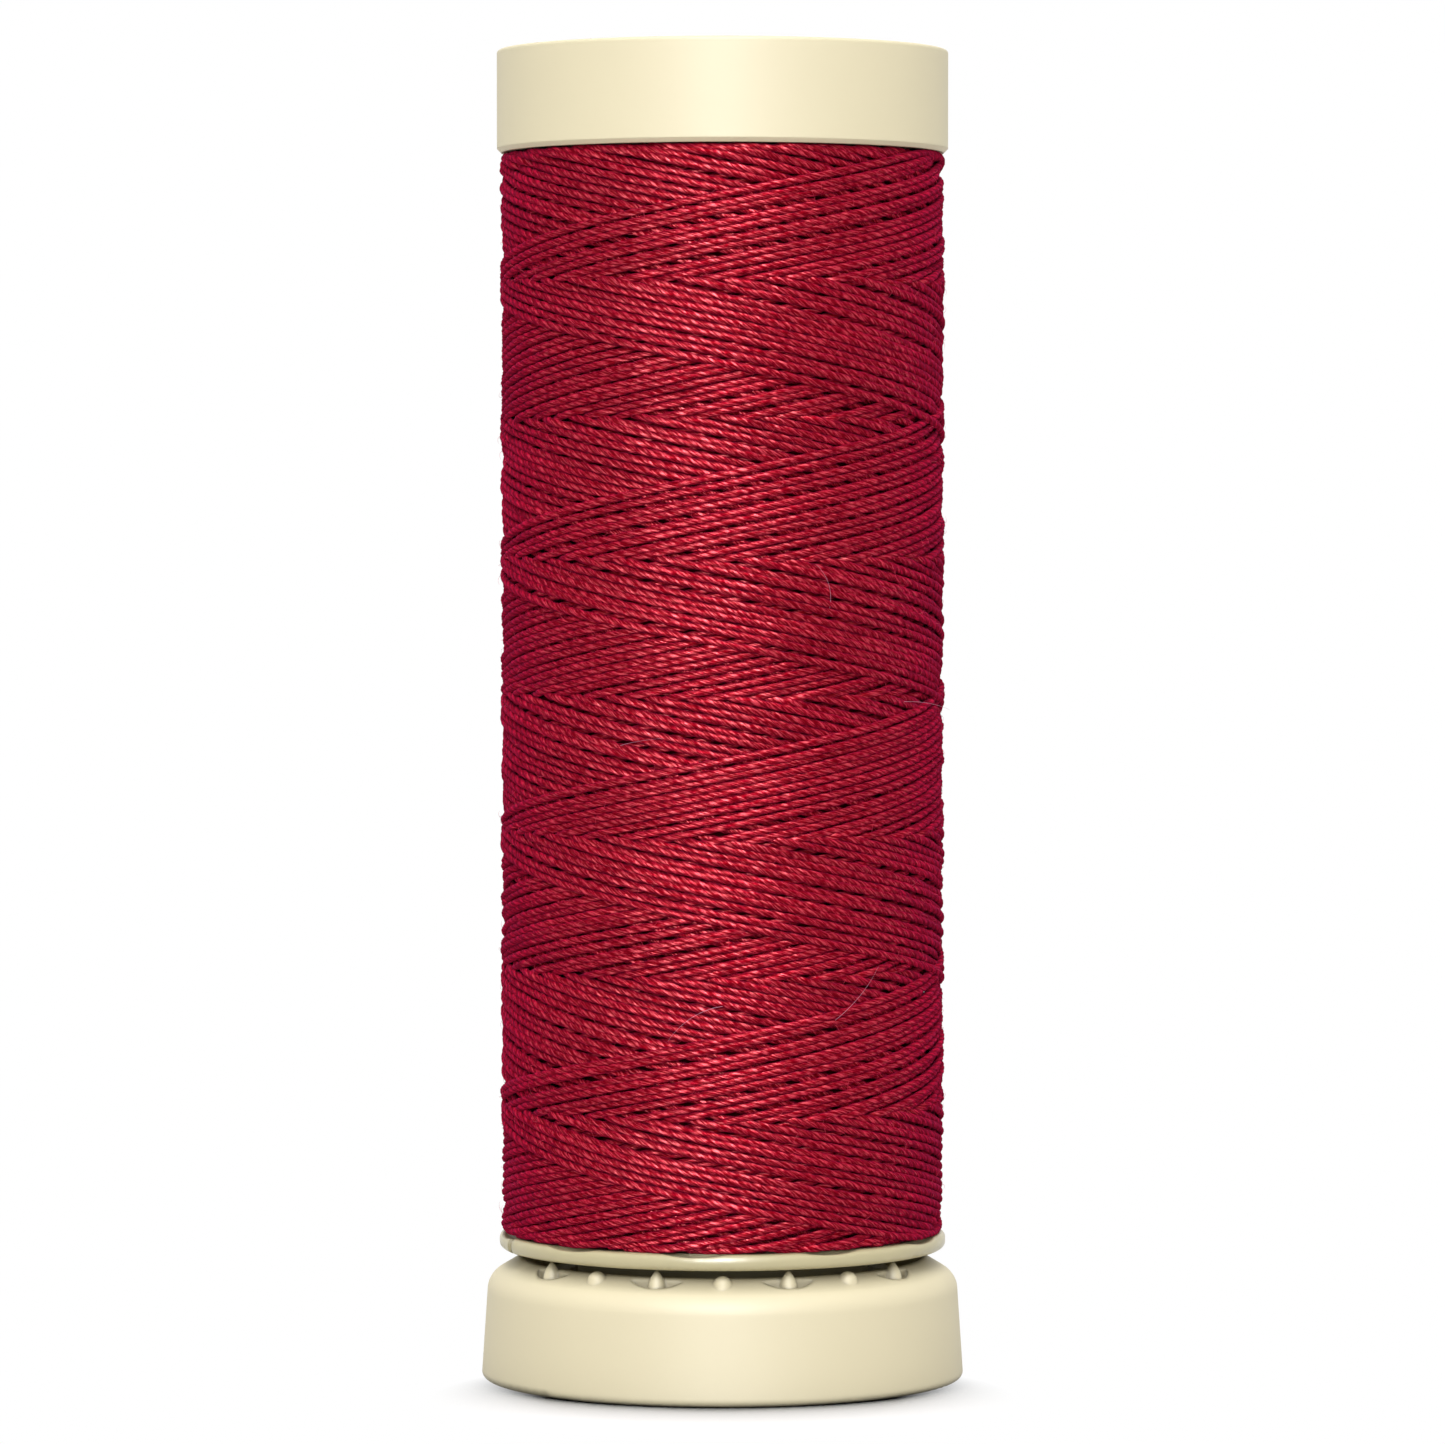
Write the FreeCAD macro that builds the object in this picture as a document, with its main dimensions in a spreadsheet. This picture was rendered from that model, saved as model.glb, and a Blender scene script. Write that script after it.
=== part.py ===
import FreeCAD, Part
import math
import os
import Sketcher

# Spool of sewing thread with a snap foot that catches the thread's loose end.
# Frame: +Z is the spool's axis, the foot stands on Z = 0, -Y is the front. Millimetres.
#
# Four pieces: a moulded core, a cap pressed on its top, a foot that snaps onto its lower end and
# slides a short way to open and shut the thread catch, and the winding of thread.

NAME = "ThreadSpool"

# Driving dimensions: alias, value, what it is.
SIZES = [
    ("spindle_radius", 3.9, "hole for the machine's spool pin"),
    ("spindle_wall", 0.9, "wall of the inner tube round the pin"),
    ("barrel_radius", 7.0, "outside of the barrel that the thread is wound on"),
    ("barrel_wall", 1.1, "wall of the barrel"),
    ("rib_count", 6, "webs between the inner tube and the barrel"),
    ("rib_thickness", 0.8, "thickness of a web"),
    ("web_thickness", 1.2, "ring that joins tube and barrel at the core's lower end"),
    ("winding_depth", 3.3, "thread from the barrel out"),
    ("winding_length", 50.27, "thread from flange to flange"),
    ("winding_edge", 0.5, "rounding at the two ends of the winding"),
    ("wound_clearance", 0.01, "between the winding and the core and cap"),
    ("flange_overhang", 0.12, "lower flange beyond the winding"),
    ("flange_thickness", 0.75, "lower flange"),
    ("flange_edge", 0.3, "rounding of the lower flange's rim"),
    ("dimple_count", 10, "shallow dips in the rim of the lower flange"),
    ("dimple_depth", 0.15, "depth of a dip"),
    ("dimple_radius", 8.5, "radius of the round cutter of a dip"),
    ("dimple_reach", 0.5, "length of a dip from the rim inwards"),
    ("dimple_turn", 11.0, "degrees from +X to the first dip"),
    ("slit_width", 0.5, "slit in the rim that the thread drops into"),
    ("slit_depth", 1.2, "length of the slit from the rim inwards"),
    ("slit_turn", 199.0, "degrees from +X to the slit"),
    ("collar_thickness", 0.7, "upper flange, inside the cap"),
    ("cap_overhang", 0.2, "cap beyond the winding"),
    ("cap_height", 4.75, "cap from its lower edge to its top"),
    ("cap_wall", 1.0, "skirt of the cap"),
    ("cap_roof", 1.1, "top of the cap"),
    ("cap_edge", 0.15, "rounding of the cap's top edge"),
    ("cap_lip", 0.2, "bevel on the cap's lower edge"),
    ("cap_seat_depth", 0.15, "sunk face on top of the cap"),
    ("cap_seat_border", 0.6, "raised border round the sunk face"),
    ("plug_depth", 1.6, "ring of the cap that presses into the barrel"),
    ("plug_share", 0.65, "wall of that ring, as a share of the room round the inner tube"),
    ("snug_clearance", 0.03, "between the cap and the core"),
    ("spigot_step", 0.2, "spigot inside the barrel's radius"),
    ("bead_bite", 0.3, "bead beyond the spigot"),
    ("bead_height", 0.8, "height of the bead"),
    ("bead_lead", 0.25, "bevel that leads the bead past the hooks"),
    ("running_clearance", 0.1, "between the sliding faces of core and foot"),
    ("seat_clearance", 0.05, "under the spigot when the catch is shut"),
    ("catch_travel", 1.9, "how far the catch opens"),
    ("stop_clearance", 0.1, "left between bead and hook when it is open"),
    ("hook_height", 0.6, "height of a hook"),
    ("hook_lead", 0.25, "bevel on top of a hook"),
    ("finger_count", 6, "springy fingers that carry the hooks"),
    ("finger_wall", 0.8, "wall of a finger"),
    ("finger_slot", 0.9, "slot between two fingers"),
    ("finger_headroom", 0.73, "from the fingers' tops to the foot's rim"),
    ("foot_recess", 0.4, "sunk face under the foot"),
    ("foot_border", 1.0, "ring that the spool stands on"),
    ("foot_edge", 0.3, "rounding of the foot's lower edge"),
    ("floor_thickness", 1.1, "floor of the foot"),
    ("floor_hole_gap", 0.4, "hole in the foot's floor beyond the spindle hole"),
    ("catch_gap", 0.4, "from the foot's rim to the flange when the catch is shut"),
    ("rim_inset", 1.0, "foot's rim inside the flange's rim"),
    ("shoulder_width", 1.53, "sloping shoulder, measured outwards"),
    ("shoulder_drop", 0.93, "sloping shoulder, measured downwards"),
    ("shoulder_edge", 1.1, "rounding between shoulder and side"),
    ("side_flare", 0.32, "foot's side leans out by this towards the floor"),
    ("peg_count", 4, "pointed pegs round the front of the catch, with as many behind"),
    ("peg_pitch", 36.0, "degrees from one pointed peg to the next"),
    ("peg_radius", 0.42, "foot of a pointed peg"),
    ("peg_inset", 0.26, "pointed pegs outside the foot's rim"),
    ("peg_clearance", 0.05, "from a pointed peg's tip to the flange"),
    ("pocket_radius", 1.6, "round edge of the pocket that a pointed peg stands in"),
    ("pocket_setback", 0.85, "from the foot's rim inwards to the middle of that round edge"),
    ("pocket_depth", 0.6, "depth of the pocket below the rim"),
    ("pocket_lip", 0.16, "thin wall left between the pocket and the foot's rim"),
    ("knob_count", 3, "round pegs between the pointed ones in front, with as many behind"),
    ("knob_radius", 0.45, "round peg"),
    ("knob_height", 0.31, "round peg above the shoulder"),
    ("knob_inset", 0.3, "round pegs outside the foot's rim"),
]

# Worked out from them: alias, formula.
DERIVED = [
    ("tube_radius", "spindle_radius + spindle_wall"),
    ("barrel_bore", "barrel_radius - barrel_wall"),
    ("winding_radius", "barrel_radius + winding_depth"),
    ("flange_radius", "winding_radius + flange_overhang"),
    ("cap_radius", "winding_radius + cap_overhang"),
    ("collar_radius", "cap_radius - cap_wall - snug_clearance"),
    ("plug_radius", "barrel_bore - snug_clearance"),
    ("spigot_radius", "barrel_radius - spigot_step"),
    ("bead_radius", "spigot_radius + bead_bite"),
    ("finger_bore", "bead_radius + running_clearance"),
    ("finger_radius", "finger_bore + finger_wall"),
    ("hook_bore", "spigot_radius + running_clearance"),
    ("floor_hole", "spindle_radius + floor_hole_gap"),
    ("rim_radius", "flange_radius - rim_inset"),
    ("side_radius", "rim_radius + shoulder_width"),
    ("foot_radius", "side_radius + side_flare"),
    ("floor_top", "foot_recess + floor_thickness"),
    ("core_low", "floor_top + seat_clearance"),
    ("web_top", "core_low + web_thickness"),
    ("bead_top", "core_low + bead_height"),
    ("hook_low", "bead_top + catch_travel + stop_clearance"),
    ("finger_top", "hook_low + hook_height"),
    ("rim_top", "finger_top + finger_headroom"),
    ("side_top", "rim_top - shoulder_drop"),
    ("pocket_floor", "rim_top - pocket_depth"),
    ("flange_low", "rim_top + catch_gap"),
    ("flange_top", "flange_low + flange_thickness"),
    ("winding_low", "flange_top + wound_clearance"),
    ("collar_low", "flange_top + winding_length"),
    ("winding_top", "collar_low - wound_clearance"),
    ("winding_bore", "barrel_radius + wound_clearance"),
    ("collar_top", "collar_low + collar_thickness"),
    ("cap_top", "collar_low + cap_height"),
    ("roof_low", "cap_top - cap_roof"),
    ("core_top", "roof_low - snug_clearance"),
    ("plug_low", "roof_low - plug_depth"),
    ("rib_top", "plug_low - running_clearance"),
    ("plug_bore", "plug_radius - plug_share * (plug_radius - tube_radius)"),
    ("seat_radius", "cap_radius - cap_seat_border"),
    ("seat_level", "cap_top - cap_seat_depth"),
    ("peg_circle", "rim_radius + peg_inset"),
    ("peg_height", "flange_low - peg_clearance - pocket_floor"),
    ("knob_circle", "rim_radius + knob_inset"),
    ("knob_level", "rim_top - shoulder_drop * knob_inset / shoulder_width"),
    ("knob_straight", "knob_height - knob_radius"),
    ("dimple_level", "flange_top + dimple_radius - dimple_depth"),
]

EMBED = 0.3  # how far a peg's root goes into the foot before the two are fused
TOLERANCE = 1e-4


def make_sheet(doc):
    """The spreadsheet of driving dimensions and of those worked out from them."""
    sheet = doc.addObject("Spreadsheet::Sheet", "Sizes")
    row = 1
    for alias, value, meaning in SIZES:
        sheet.set(f"A{row}", meaning)
        sheet.set(f"B{row}", str(value))
        sheet.setAlias(f"B{row}", alias)
        row += 1
    for alias, formula in DERIVED:
        sheet.set(f"A{row}", formula)
        sheet.set(f"B{row}", "=" + formula)
        sheet.setAlias(f"B{row}", alias)
        row += 1
    doc.recompute()
    return sheet


class Piece:
    """A PartDesign body with short calls for the features that the pieces are made of."""

    def __init__(self, doc, label):
        self.doc = doc
        self.body = doc.addObject("PartDesign::Body", label)
        self.body.Label = label

    def origin(self, role):
        for feature in self.body.Origin.OriginFeatures:
            if feature.Role == role:
                return feature
        raise ValueError(f"no origin feature {role}")

    def size(self, alias):
        return float(self.doc.Sizes.get(alias))

    def sketch(self, name, plane="XZ_Plane", base=(None, None, None), turn=None):
        """A sketch on an origin plane. base holds expressions for its offset in the plane's own
        axes, and turn one for its turn about the spool's axis."""
        sketch = self.body.newObject("Sketcher::SketchObject", name)
        sketch.AttachmentSupport = (self.origin(plane), [""])
        sketch.MapMode = "FlatFace"
        if turn is not None:
            axis = (0, 0, 1) if plane == "XY_Plane" else (0, 1, 0)
            sketch.AttachmentOffset = FreeCAD.Placement(
                FreeCAD.Vector(), FreeCAD.Rotation(FreeCAD.Vector(*axis), 1)
            )
            sketch.setExpression("AttachmentOffset.Rotation.Angle", turn)
        for axis, expression in zip("xyz", base):
            if expression is not None:
                sketch.setExpression(f"AttachmentOffset.Base.{axis}", expression)
        return sketch

    def measure(self, sketch, kind, expression):
        """A dimension in a sketch, bound to an expression."""
        index = sketch.addConstraint(Sketcher.Constraint(*kind, self.value(expression)))
        sketch.setExpression(f"Constraints[{index}]", expression)

    def place(self, sketch, geometry, point, x, y):
        """Fixes a point of a sketch at x, y, each an expression or 0."""
        for kind, value, axis in (("DistanceX", x, -2), ("DistanceY", y, -1)):
            if value == 0:
                sketch.addConstraint(Sketcher.Constraint("PointOnObject", geometry, point, axis))
            else:
                self.measure(sketch, (kind, -1, 1, geometry, point), value)

    def value(self, expression):
        """What an expression of the sheet comes to, as a number."""
        if expression == 0:
            return 0.0
        return float(self.body.evalExpression(expression))

    def outline(self, sketch, corners):
        """A closed outline of straight lines through corners, each a pair of expressions."""
        points = [FreeCAD.Vector(self.value(x), self.value(y), 0) for x, y in corners]
        count = len(corners)
        for i in range(count):
            sketch.addGeometry(Part.LineSegment(points[i], points[(i + 1) % count]), False)
        for i in range(count):
            sketch.addConstraint(Sketcher.Constraint("Coincident", i, 2, (i + 1) % count, 1))
        for i, (x, y) in enumerate(corners):
            self.place(sketch, i, 1, x, y)
        self.doc.recompute()
        return sketch

    def revolve(self, name, sketch):
        turned = self.body.newObject("PartDesign::Revolution", name)
        turned.Profile = sketch
        turned.ReferenceAxis = (sketch, ["V_Axis"])
        turned.Angle = 360
        return self.finish(turned)

    def pad(self, name, sketch, length, middle=False):
        block = self.body.newObject("PartDesign::Pad", name)
        block.Profile = sketch
        block.Midplane = middle
        block.setExpression("Length", length)
        return self.finish(block)

    def pocket(self, name, sketch, length, middle=False, reversed_way=False):
        """Cuts a pocket and checks that it took material away."""
        before = self.body.Shape.Volume
        cut = self.body.newObject("PartDesign::Pocket", name)
        cut.Profile = sketch
        cut.Midplane = middle
        cut.Reversed = reversed_way
        cut.setExpression("Length", length)
        self.finish(cut)
        if self.body.Shape.Volume > before - TOLERANCE:
            raise RuntimeError(f"{name} cut nothing")
        return cut

    def repeat(self, name, feature, count):
        """The feature, evenly spaced round the spool's axis."""
        pattern = self.body.newObject("PartDesign::PolarPattern", name)
        pattern.Originals = [feature]
        pattern.Axis = (self.origin("Z_Axis"), [""])
        pattern.Angle = 360
        pattern.setExpression("Occurrences", count)
        self.body.Tip = pattern
        return self.finish(pattern)

    def finish(self, feature):
        self.doc.recompute()
        if feature.State and ("Invalid" in feature.State or "Error" in feature.State):
            raise RuntimeError(f"{self.body.Label}: {feature.Name} failed")
        return feature

    def ring(self, feature, radius, height):
        """The name of the circular edge of a feature at that radius and height, by alias."""
        r, z = self.size(radius), self.size(height) if height else 0.0
        for i, edge in enumerate(feature.Shape.Edges):
            curve = edge.Curve
            if (
                isinstance(curve, Part.Circle)
                and abs(curve.Radius - r) < TOLERANCE
                and abs(curve.Center.z - z) < TOLERANCE
            ):
                return f"Edge{i + 1}"
        raise ValueError(f"{self.body.Label}: no ring at {radius}, {height}")

    def round_rings(self, name, feature, rings, radius):
        fillet = self.body.newObject("PartDesign::Fillet", name)
        fillet.Base = (feature, [self.ring(feature, r, z) for r, z in rings])
        fillet.setExpression("Radius", radius)
        return self.finish(fillet)

    def bevel_rings(self, name, feature, rings, size):
        bevel = self.body.newObject("PartDesign::Chamfer", name)
        bevel.Base = (feature, [self.ring(feature, r, z) for r, z in rings])
        bevel.setExpression("Size", size)
        return self.finish(bevel)


def make_core(doc):
    """Core: inner tube, barrel, two flanges, the spigot with its bead, webs, dips and slit."""
    core = Piece(doc, "spool_core")
    profile = core.outline(
        core.sketch("CoreProfile"),
        [
            ("Sizes.spindle_radius", "Sizes.core_low"),
            ("Sizes.bead_radius", "Sizes.core_low"),
            ("Sizes.bead_radius", "Sizes.bead_top"),
            ("Sizes.spigot_radius", "Sizes.bead_top"),
            ("Sizes.spigot_radius", "Sizes.flange_low"),
            ("Sizes.flange_radius", "Sizes.flange_low"),
            ("Sizes.flange_radius", "Sizes.flange_top"),
            ("Sizes.barrel_radius", "Sizes.flange_top"),
            ("Sizes.barrel_radius", "Sizes.collar_low"),
            ("Sizes.collar_radius", "Sizes.collar_low"),
            ("Sizes.collar_radius", "Sizes.collar_top"),
            ("Sizes.barrel_radius", "Sizes.collar_top"),
            ("Sizes.barrel_radius", "Sizes.core_top"),
            ("Sizes.barrel_bore", "Sizes.core_top"),
            ("Sizes.barrel_bore", "Sizes.web_top"),
            ("Sizes.tube_radius", "Sizes.web_top"),
            ("Sizes.tube_radius", "Sizes.core_top"),
            ("Sizes.spindle_radius", "Sizes.core_top"),
        ],
    )
    turned = core.revolve("CoreTurned", profile)
    rounded = core.round_rings(
        "FlangeEdge",
        turned,
        [("flange_radius", "flange_low"), ("flange_radius", "flange_top")],
        "Sizes.flange_edge",
    )
    core.bevel_rings("BeadLead", rounded, [("bead_radius", "core_low")], "Sizes.bead_lead")

    rib_profile = core.outline(
        core.sketch("RibProfile"),
        [
            ("Sizes.tube_radius - Sizes.spindle_wall / 2", "Sizes.web_top - Sizes.web_thickness / 2"),
            ("Sizes.barrel_bore + Sizes.barrel_wall / 2", "Sizes.web_top - Sizes.web_thickness / 2"),
            ("Sizes.barrel_bore + Sizes.barrel_wall / 2", "Sizes.rib_top"),
            ("Sizes.tube_radius - Sizes.spindle_wall / 2", "Sizes.rib_top"),
        ],
    )
    rib = core.pad("Rib", rib_profile, "Sizes.rib_thickness", middle=True)
    core.repeat("Ribs", rib, "Sizes.rib_count")

    # The dips' cutter is a round bar that lies radially just above the rim.
    dimple = core.sketch(
        "DimpleCircle",
        "YZ_Plane",
        base=(
            "(Sizes.flange_radius + 1) * sin(Sizes.dimple_turn)",
            None,
            "(Sizes.flange_radius + 1) * cos(Sizes.dimple_turn)",
        ),
        turn="Sizes.dimple_turn",
    )
    circle = dimple.addGeometry(
        Part.Circle(
            FreeCAD.Vector(0, core.size("dimple_level"), 0),
            FreeCAD.Vector(0, 0, 1),
            core.size("dimple_radius"),
        )
    )
    core.place(dimple, circle, 3, 0, "Sizes.dimple_level")
    core.measure(dimple, ("Radius", circle), "Sizes.dimple_radius")
    doc.recompute()
    dip = core.pocket("Dimple", dimple, "Sizes.dimple_reach + 1")
    core.repeat("Dimples", dip, "Sizes.dimple_count")

    slit = core.outline(
        core.sketch("SlitProfile", turn="Sizes.slit_turn"),
        [
            ("Sizes.flange_radius - Sizes.slit_depth", "Sizes.flange_low - Sizes.flange_thickness"),
            ("Sizes.flange_radius + Sizes.slit_depth", "Sizes.flange_low - Sizes.flange_thickness"),
            ("Sizes.flange_radius + Sizes.slit_depth", "Sizes.flange_top + Sizes.flange_thickness"),
            ("Sizes.flange_radius - Sizes.slit_depth", "Sizes.flange_top + Sizes.flange_thickness"),
        ],
    )
    core.pocket("Slit", slit, "Sizes.slit_width", middle=True)
    return core.body


def make_cap(doc):
    """Cap: roof with the spindle hole, outer skirt, and the ring that presses into the barrel."""
    cap = Piece(doc, "top_cap")
    profile = cap.outline(
        cap.sketch("CapProfile"),
        [
            ("Sizes.spindle_radius", "Sizes.roof_low"),
            ("Sizes.plug_bore", "Sizes.roof_low"),
            ("Sizes.plug_bore", "Sizes.plug_low"),
            ("Sizes.plug_radius", "Sizes.plug_low"),
            ("Sizes.plug_radius", "Sizes.roof_low"),
            ("Sizes.cap_radius - Sizes.cap_wall", "Sizes.roof_low"),
            ("Sizes.cap_radius - Sizes.cap_wall", "Sizes.collar_low"),
            ("Sizes.cap_radius", "Sizes.collar_low"),
            ("Sizes.cap_radius", "Sizes.cap_top"),
            ("Sizes.seat_radius", "Sizes.cap_top"),
            ("Sizes.seat_radius", "Sizes.seat_level"),
            ("Sizes.spindle_radius", "Sizes.seat_level"),
        ],
    )
    turned = cap.revolve("CapTurned", profile)
    rounded = cap.round_rings("CapEdge", turned, [("cap_radius", "cap_top")], "Sizes.cap_edge")
    cap.bevel_rings("CapLip", rounded, [("cap_radius", "collar_low")], "Sizes.cap_lip")
    return cap.body


def make_peg(foot, name, turn, place, sizes):
    """A peg turned about its own upright axis: pointed, or round where it has a straight part.
    Place is its distance from the spool's axis and its level, at an angle from straight ahead."""
    width, height = foot.size(sizes[0]), foot.size(sizes[1])
    straight = foot.size(sizes[2]) if sizes[2] else 0.0
    bulge = 0.0 if sizes[2] else (height**2 - width**2) / (2 * width)
    out, level = place
    base = (f"{out} * sin({turn})", level, f"{out} * cos({turn})")
    sketch = foot.sketch(f"{name}Profile", base=base, turn=f"{turn} - 90")
    points = [(0, height), (0, -EMBED), (width, -EMBED), (width, straight)]
    vectors = [FreeCAD.Vector(x, y, 0) for x, y in points]
    for i in range(3):
        sketch.addGeometry(Part.LineSegment(vectors[i], vectors[i + 1]), False)
    arc = sketch.addGeometry(
        Part.ArcOfCircle(
            Part.Circle(
                FreeCAD.Vector(-bulge, straight, 0), FreeCAD.Vector(0, 0, 1), width + bulge
            ),
            0,
            math.atan2(height - straight, bulge),
        ),
        False,
    )
    for i in range(2):
        sketch.addConstraint(Sketcher.Constraint("Coincident", i, 2, i + 1, 1))
    sketch.addConstraint(Sketcher.Constraint("Coincident", 2, 2, arc, 1))
    sketch.addConstraint(Sketcher.Constraint("Coincident", arc, 2, 0, 1))
    centre_line = -2 if sizes[2] else -1
    sketch.addConstraint(Sketcher.Constraint("PointOnObject", arc, 3, centre_line))
    foot.place(sketch, 0, 1, 0, f"Sizes.{sizes[1]}")
    foot.place(sketch, 0, 2, 0, f"{-EMBED}")
    foot.place(sketch, 1, 2, f"Sizes.{sizes[0]}", f"{-EMBED}")
    foot.place(sketch, arc, 1, f"Sizes.{sizes[0]}", f"Sizes.{sizes[2]}" if sizes[2] else 0)
    foot.doc.recompute()
    return foot.revolve(name, sketch)


def make_pocket(foot, name, turn):
    """A pocket in the shoulder: round outside, with a thin lip left towards the foot's inside."""
    scoop = foot.sketch(f"{name}Outline", "XY_Plane", base=(None, None, "Sizes.rim_top"), turn=turn)
    reach, lip = foot.size("pocket_radius"), foot.size("rim_radius") + foot.size("pocket_lip")
    centre = foot.size("rim_radius") - foot.size("pocket_setback")
    half_angle = math.acos((lip - centre) / reach)
    half_chord = reach * math.sin(half_angle)
    round_side = scoop.addGeometry(
        Part.ArcOfCircle(
            Part.Circle(FreeCAD.Vector(centre, 0, 0), FreeCAD.Vector(0, 0, 1), reach),
            -half_angle,
            half_angle,
        ),
        False,
    )
    flat_side = scoop.addGeometry(
        Part.LineSegment(
            FreeCAD.Vector(lip, half_chord, 0), FreeCAD.Vector(lip, -half_chord, 0)
        ),
        False,
    )
    scoop.addConstraint(Sketcher.Constraint("Coincident", round_side, 2, flat_side, 1))
    scoop.addConstraint(Sketcher.Constraint("Coincident", flat_side, 2, round_side, 1))
    scoop.addConstraint(Sketcher.Constraint("Vertical", flat_side))
    foot.place(scoop, round_side, 3, "Sizes.rim_radius - Sizes.pocket_setback", 0)
    foot.measure(scoop, ("Radius", round_side), "Sizes.pocket_radius")
    foot.measure(scoop, ("DistanceX", -1, 1, flat_side, 1), "Sizes.rim_radius + Sizes.pocket_lip")
    foot.doc.recompute()
    return foot.pocket(name, scoop, "Sizes.pocket_depth")


def make_foot(doc):
    """Foot: flared side, sloping shoulder, springy hooked fingers, pockets and pegs."""
    foot = Piece(doc, "snap_foot")
    profile = foot.outline(
        foot.sketch("FootProfile"),
        [
            ("Sizes.floor_hole", "Sizes.foot_recess"),
            ("Sizes.foot_radius - Sizes.foot_border", "Sizes.foot_recess"),
            ("Sizes.foot_radius - Sizes.foot_border", 0),
            ("Sizes.foot_radius", 0),
            ("Sizes.side_radius", "Sizes.side_top"),
            ("Sizes.rim_radius", "Sizes.rim_top"),
            ("Sizes.rim_radius", "Sizes.floor_top"),
            ("Sizes.finger_radius", "Sizes.floor_top"),
            ("Sizes.finger_radius", "Sizes.finger_top"),
            ("Sizes.hook_bore + Sizes.hook_lead", "Sizes.finger_top"),
            ("Sizes.hook_bore", "Sizes.finger_top - Sizes.hook_lead"),
            ("Sizes.hook_bore", "Sizes.hook_low"),
            ("Sizes.finger_bore", "Sizes.hook_low"),
            ("Sizes.finger_bore", "Sizes.floor_top"),
            ("Sizes.floor_hole", "Sizes.floor_top"),
        ],
    )
    turned = foot.revolve("FootTurned", profile)
    shoulder = foot.round_rings(
        "Shoulder", turned, [("side_radius", "side_top")], "Sizes.shoulder_edge"
    )
    foot.round_rings("FootEdge", shoulder, [("foot_radius", None)], "Sizes.foot_edge")

    slot_profile = foot.outline(
        foot.sketch("SlotProfile"),
        [
            ("Sizes.hook_bore - Sizes.running_clearance", "Sizes.floor_top"),
            ("Sizes.finger_radius + Sizes.running_clearance", "Sizes.floor_top"),
            ("Sizes.finger_radius + Sizes.running_clearance", "Sizes.finger_top + 1"),
            ("Sizes.hook_bore - Sizes.running_clearance", "Sizes.finger_top + 1"),
        ],
    )
    slot = foot.pocket("Slot", slot_profile, "Sizes.finger_slot", middle=True)
    foot.repeat("Slots", slot, "Sizes.finger_count")

    # A row of pointed pegs in front and one behind, each standing in its pocket.
    for i in range(int(foot.size("peg_count"))):
        turn = f"({i} - (Sizes.peg_count - 1) / 2) * Sizes.peg_pitch"
        pocket = make_pocket(foot, f"PegPocket{i}", f"{turn} - 90")
        foot.repeat(f"PocketPair{i}", pocket, "2")
        place = ("Sizes.peg_circle", "Sizes.pocket_floor")
        pointed = make_peg(foot, f"Peg{i}", turn, place, ("peg_radius", "peg_height", None))
        foot.repeat(f"PegPair{i}", pointed, "2")

    # Round pegs on the shoulder, half a pitch from the pointed ones: a row in front, one behind.
    for i in range(int(foot.size("knob_count"))):
        turn = f"({i} - (Sizes.knob_count - 1) / 2) * Sizes.peg_pitch"
        place = ("Sizes.knob_circle", "Sizes.knob_level")
        sizes = ("knob_radius", "knob_height", "knob_straight")
        knob = make_peg(foot, f"Knob{i}", turn, place, sizes)
        foot.repeat(f"KnobPair{i}", knob, "2")
    return foot.body


def make_winding(doc):
    """Winding: the outer form of the thread on the barrel, with rounded ends."""
    winding = Piece(doc, "thread_winding")
    profile = winding.outline(
        winding.sketch("WindingProfile"),
        [
            ("Sizes.winding_bore", "Sizes.winding_low"),
            ("Sizes.winding_radius", "Sizes.winding_low"),
            ("Sizes.winding_radius", "Sizes.winding_top"),
            ("Sizes.winding_bore", "Sizes.winding_top"),
        ],
    )
    turned = winding.revolve("WindingTurned", profile)
    winding.round_rings(
        "WindingEdges",
        turned,
        [("winding_radius", "winding_low"), ("winding_radius", "winding_top")],
        "Sizes.winding_edge",
    )
    return winding.body


def check(doc, bodies):
    """Stops if any object failed, or if a piece isn't one valid closed solid."""
    for item in doc.Objects:
        if "Invalid" in item.State or "Error" in item.State:
            raise RuntimeError(f"{item.Name} is in state {item.State}")
    for body in bodies:
        shape = body.Shape
        if shape.isNull() or not shape.isValid() or len(shape.Solids) != 1:
            raise RuntimeError(f"{body.Label} is not one valid solid")
        box = shape.BoundBox
        print(
            f"{body.Label}: {shape.Volume:.1f} mm3, z {box.ZMin:.3f} to {box.ZMax:.3f}, "
            f"x {box.XMin:.3f} to {box.XMax:.3f}, {len(shape.Faces)} faces"
        )


def main():
    doc = FreeCAD.newDocument(NAME)
    make_sheet(doc)
    bodies = [make_core(doc), make_cap(doc), make_foot(doc), make_winding(doc)]
    doc.recompute()
    check(doc, bodies)
    os.makedirs("parts", exist_ok=True)
    for body in bodies:
        body.Shape.exportStep(os.path.join("parts", body.Label + ".step"))


main()
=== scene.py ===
# %% [markdown]
# # A spool of sewing thread
#
# The spool is a few moulded pieces in cream polystyrene, a core, a cap and a snap-on foot, with about
# a hundred metres of spun polyester thread cross-wound on it. The plastic pieces come ready made, at
# their real size, with the frame. What is made here is the thread, the finishes, the light and the
# camera.

# %% Load the frame
import math

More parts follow.
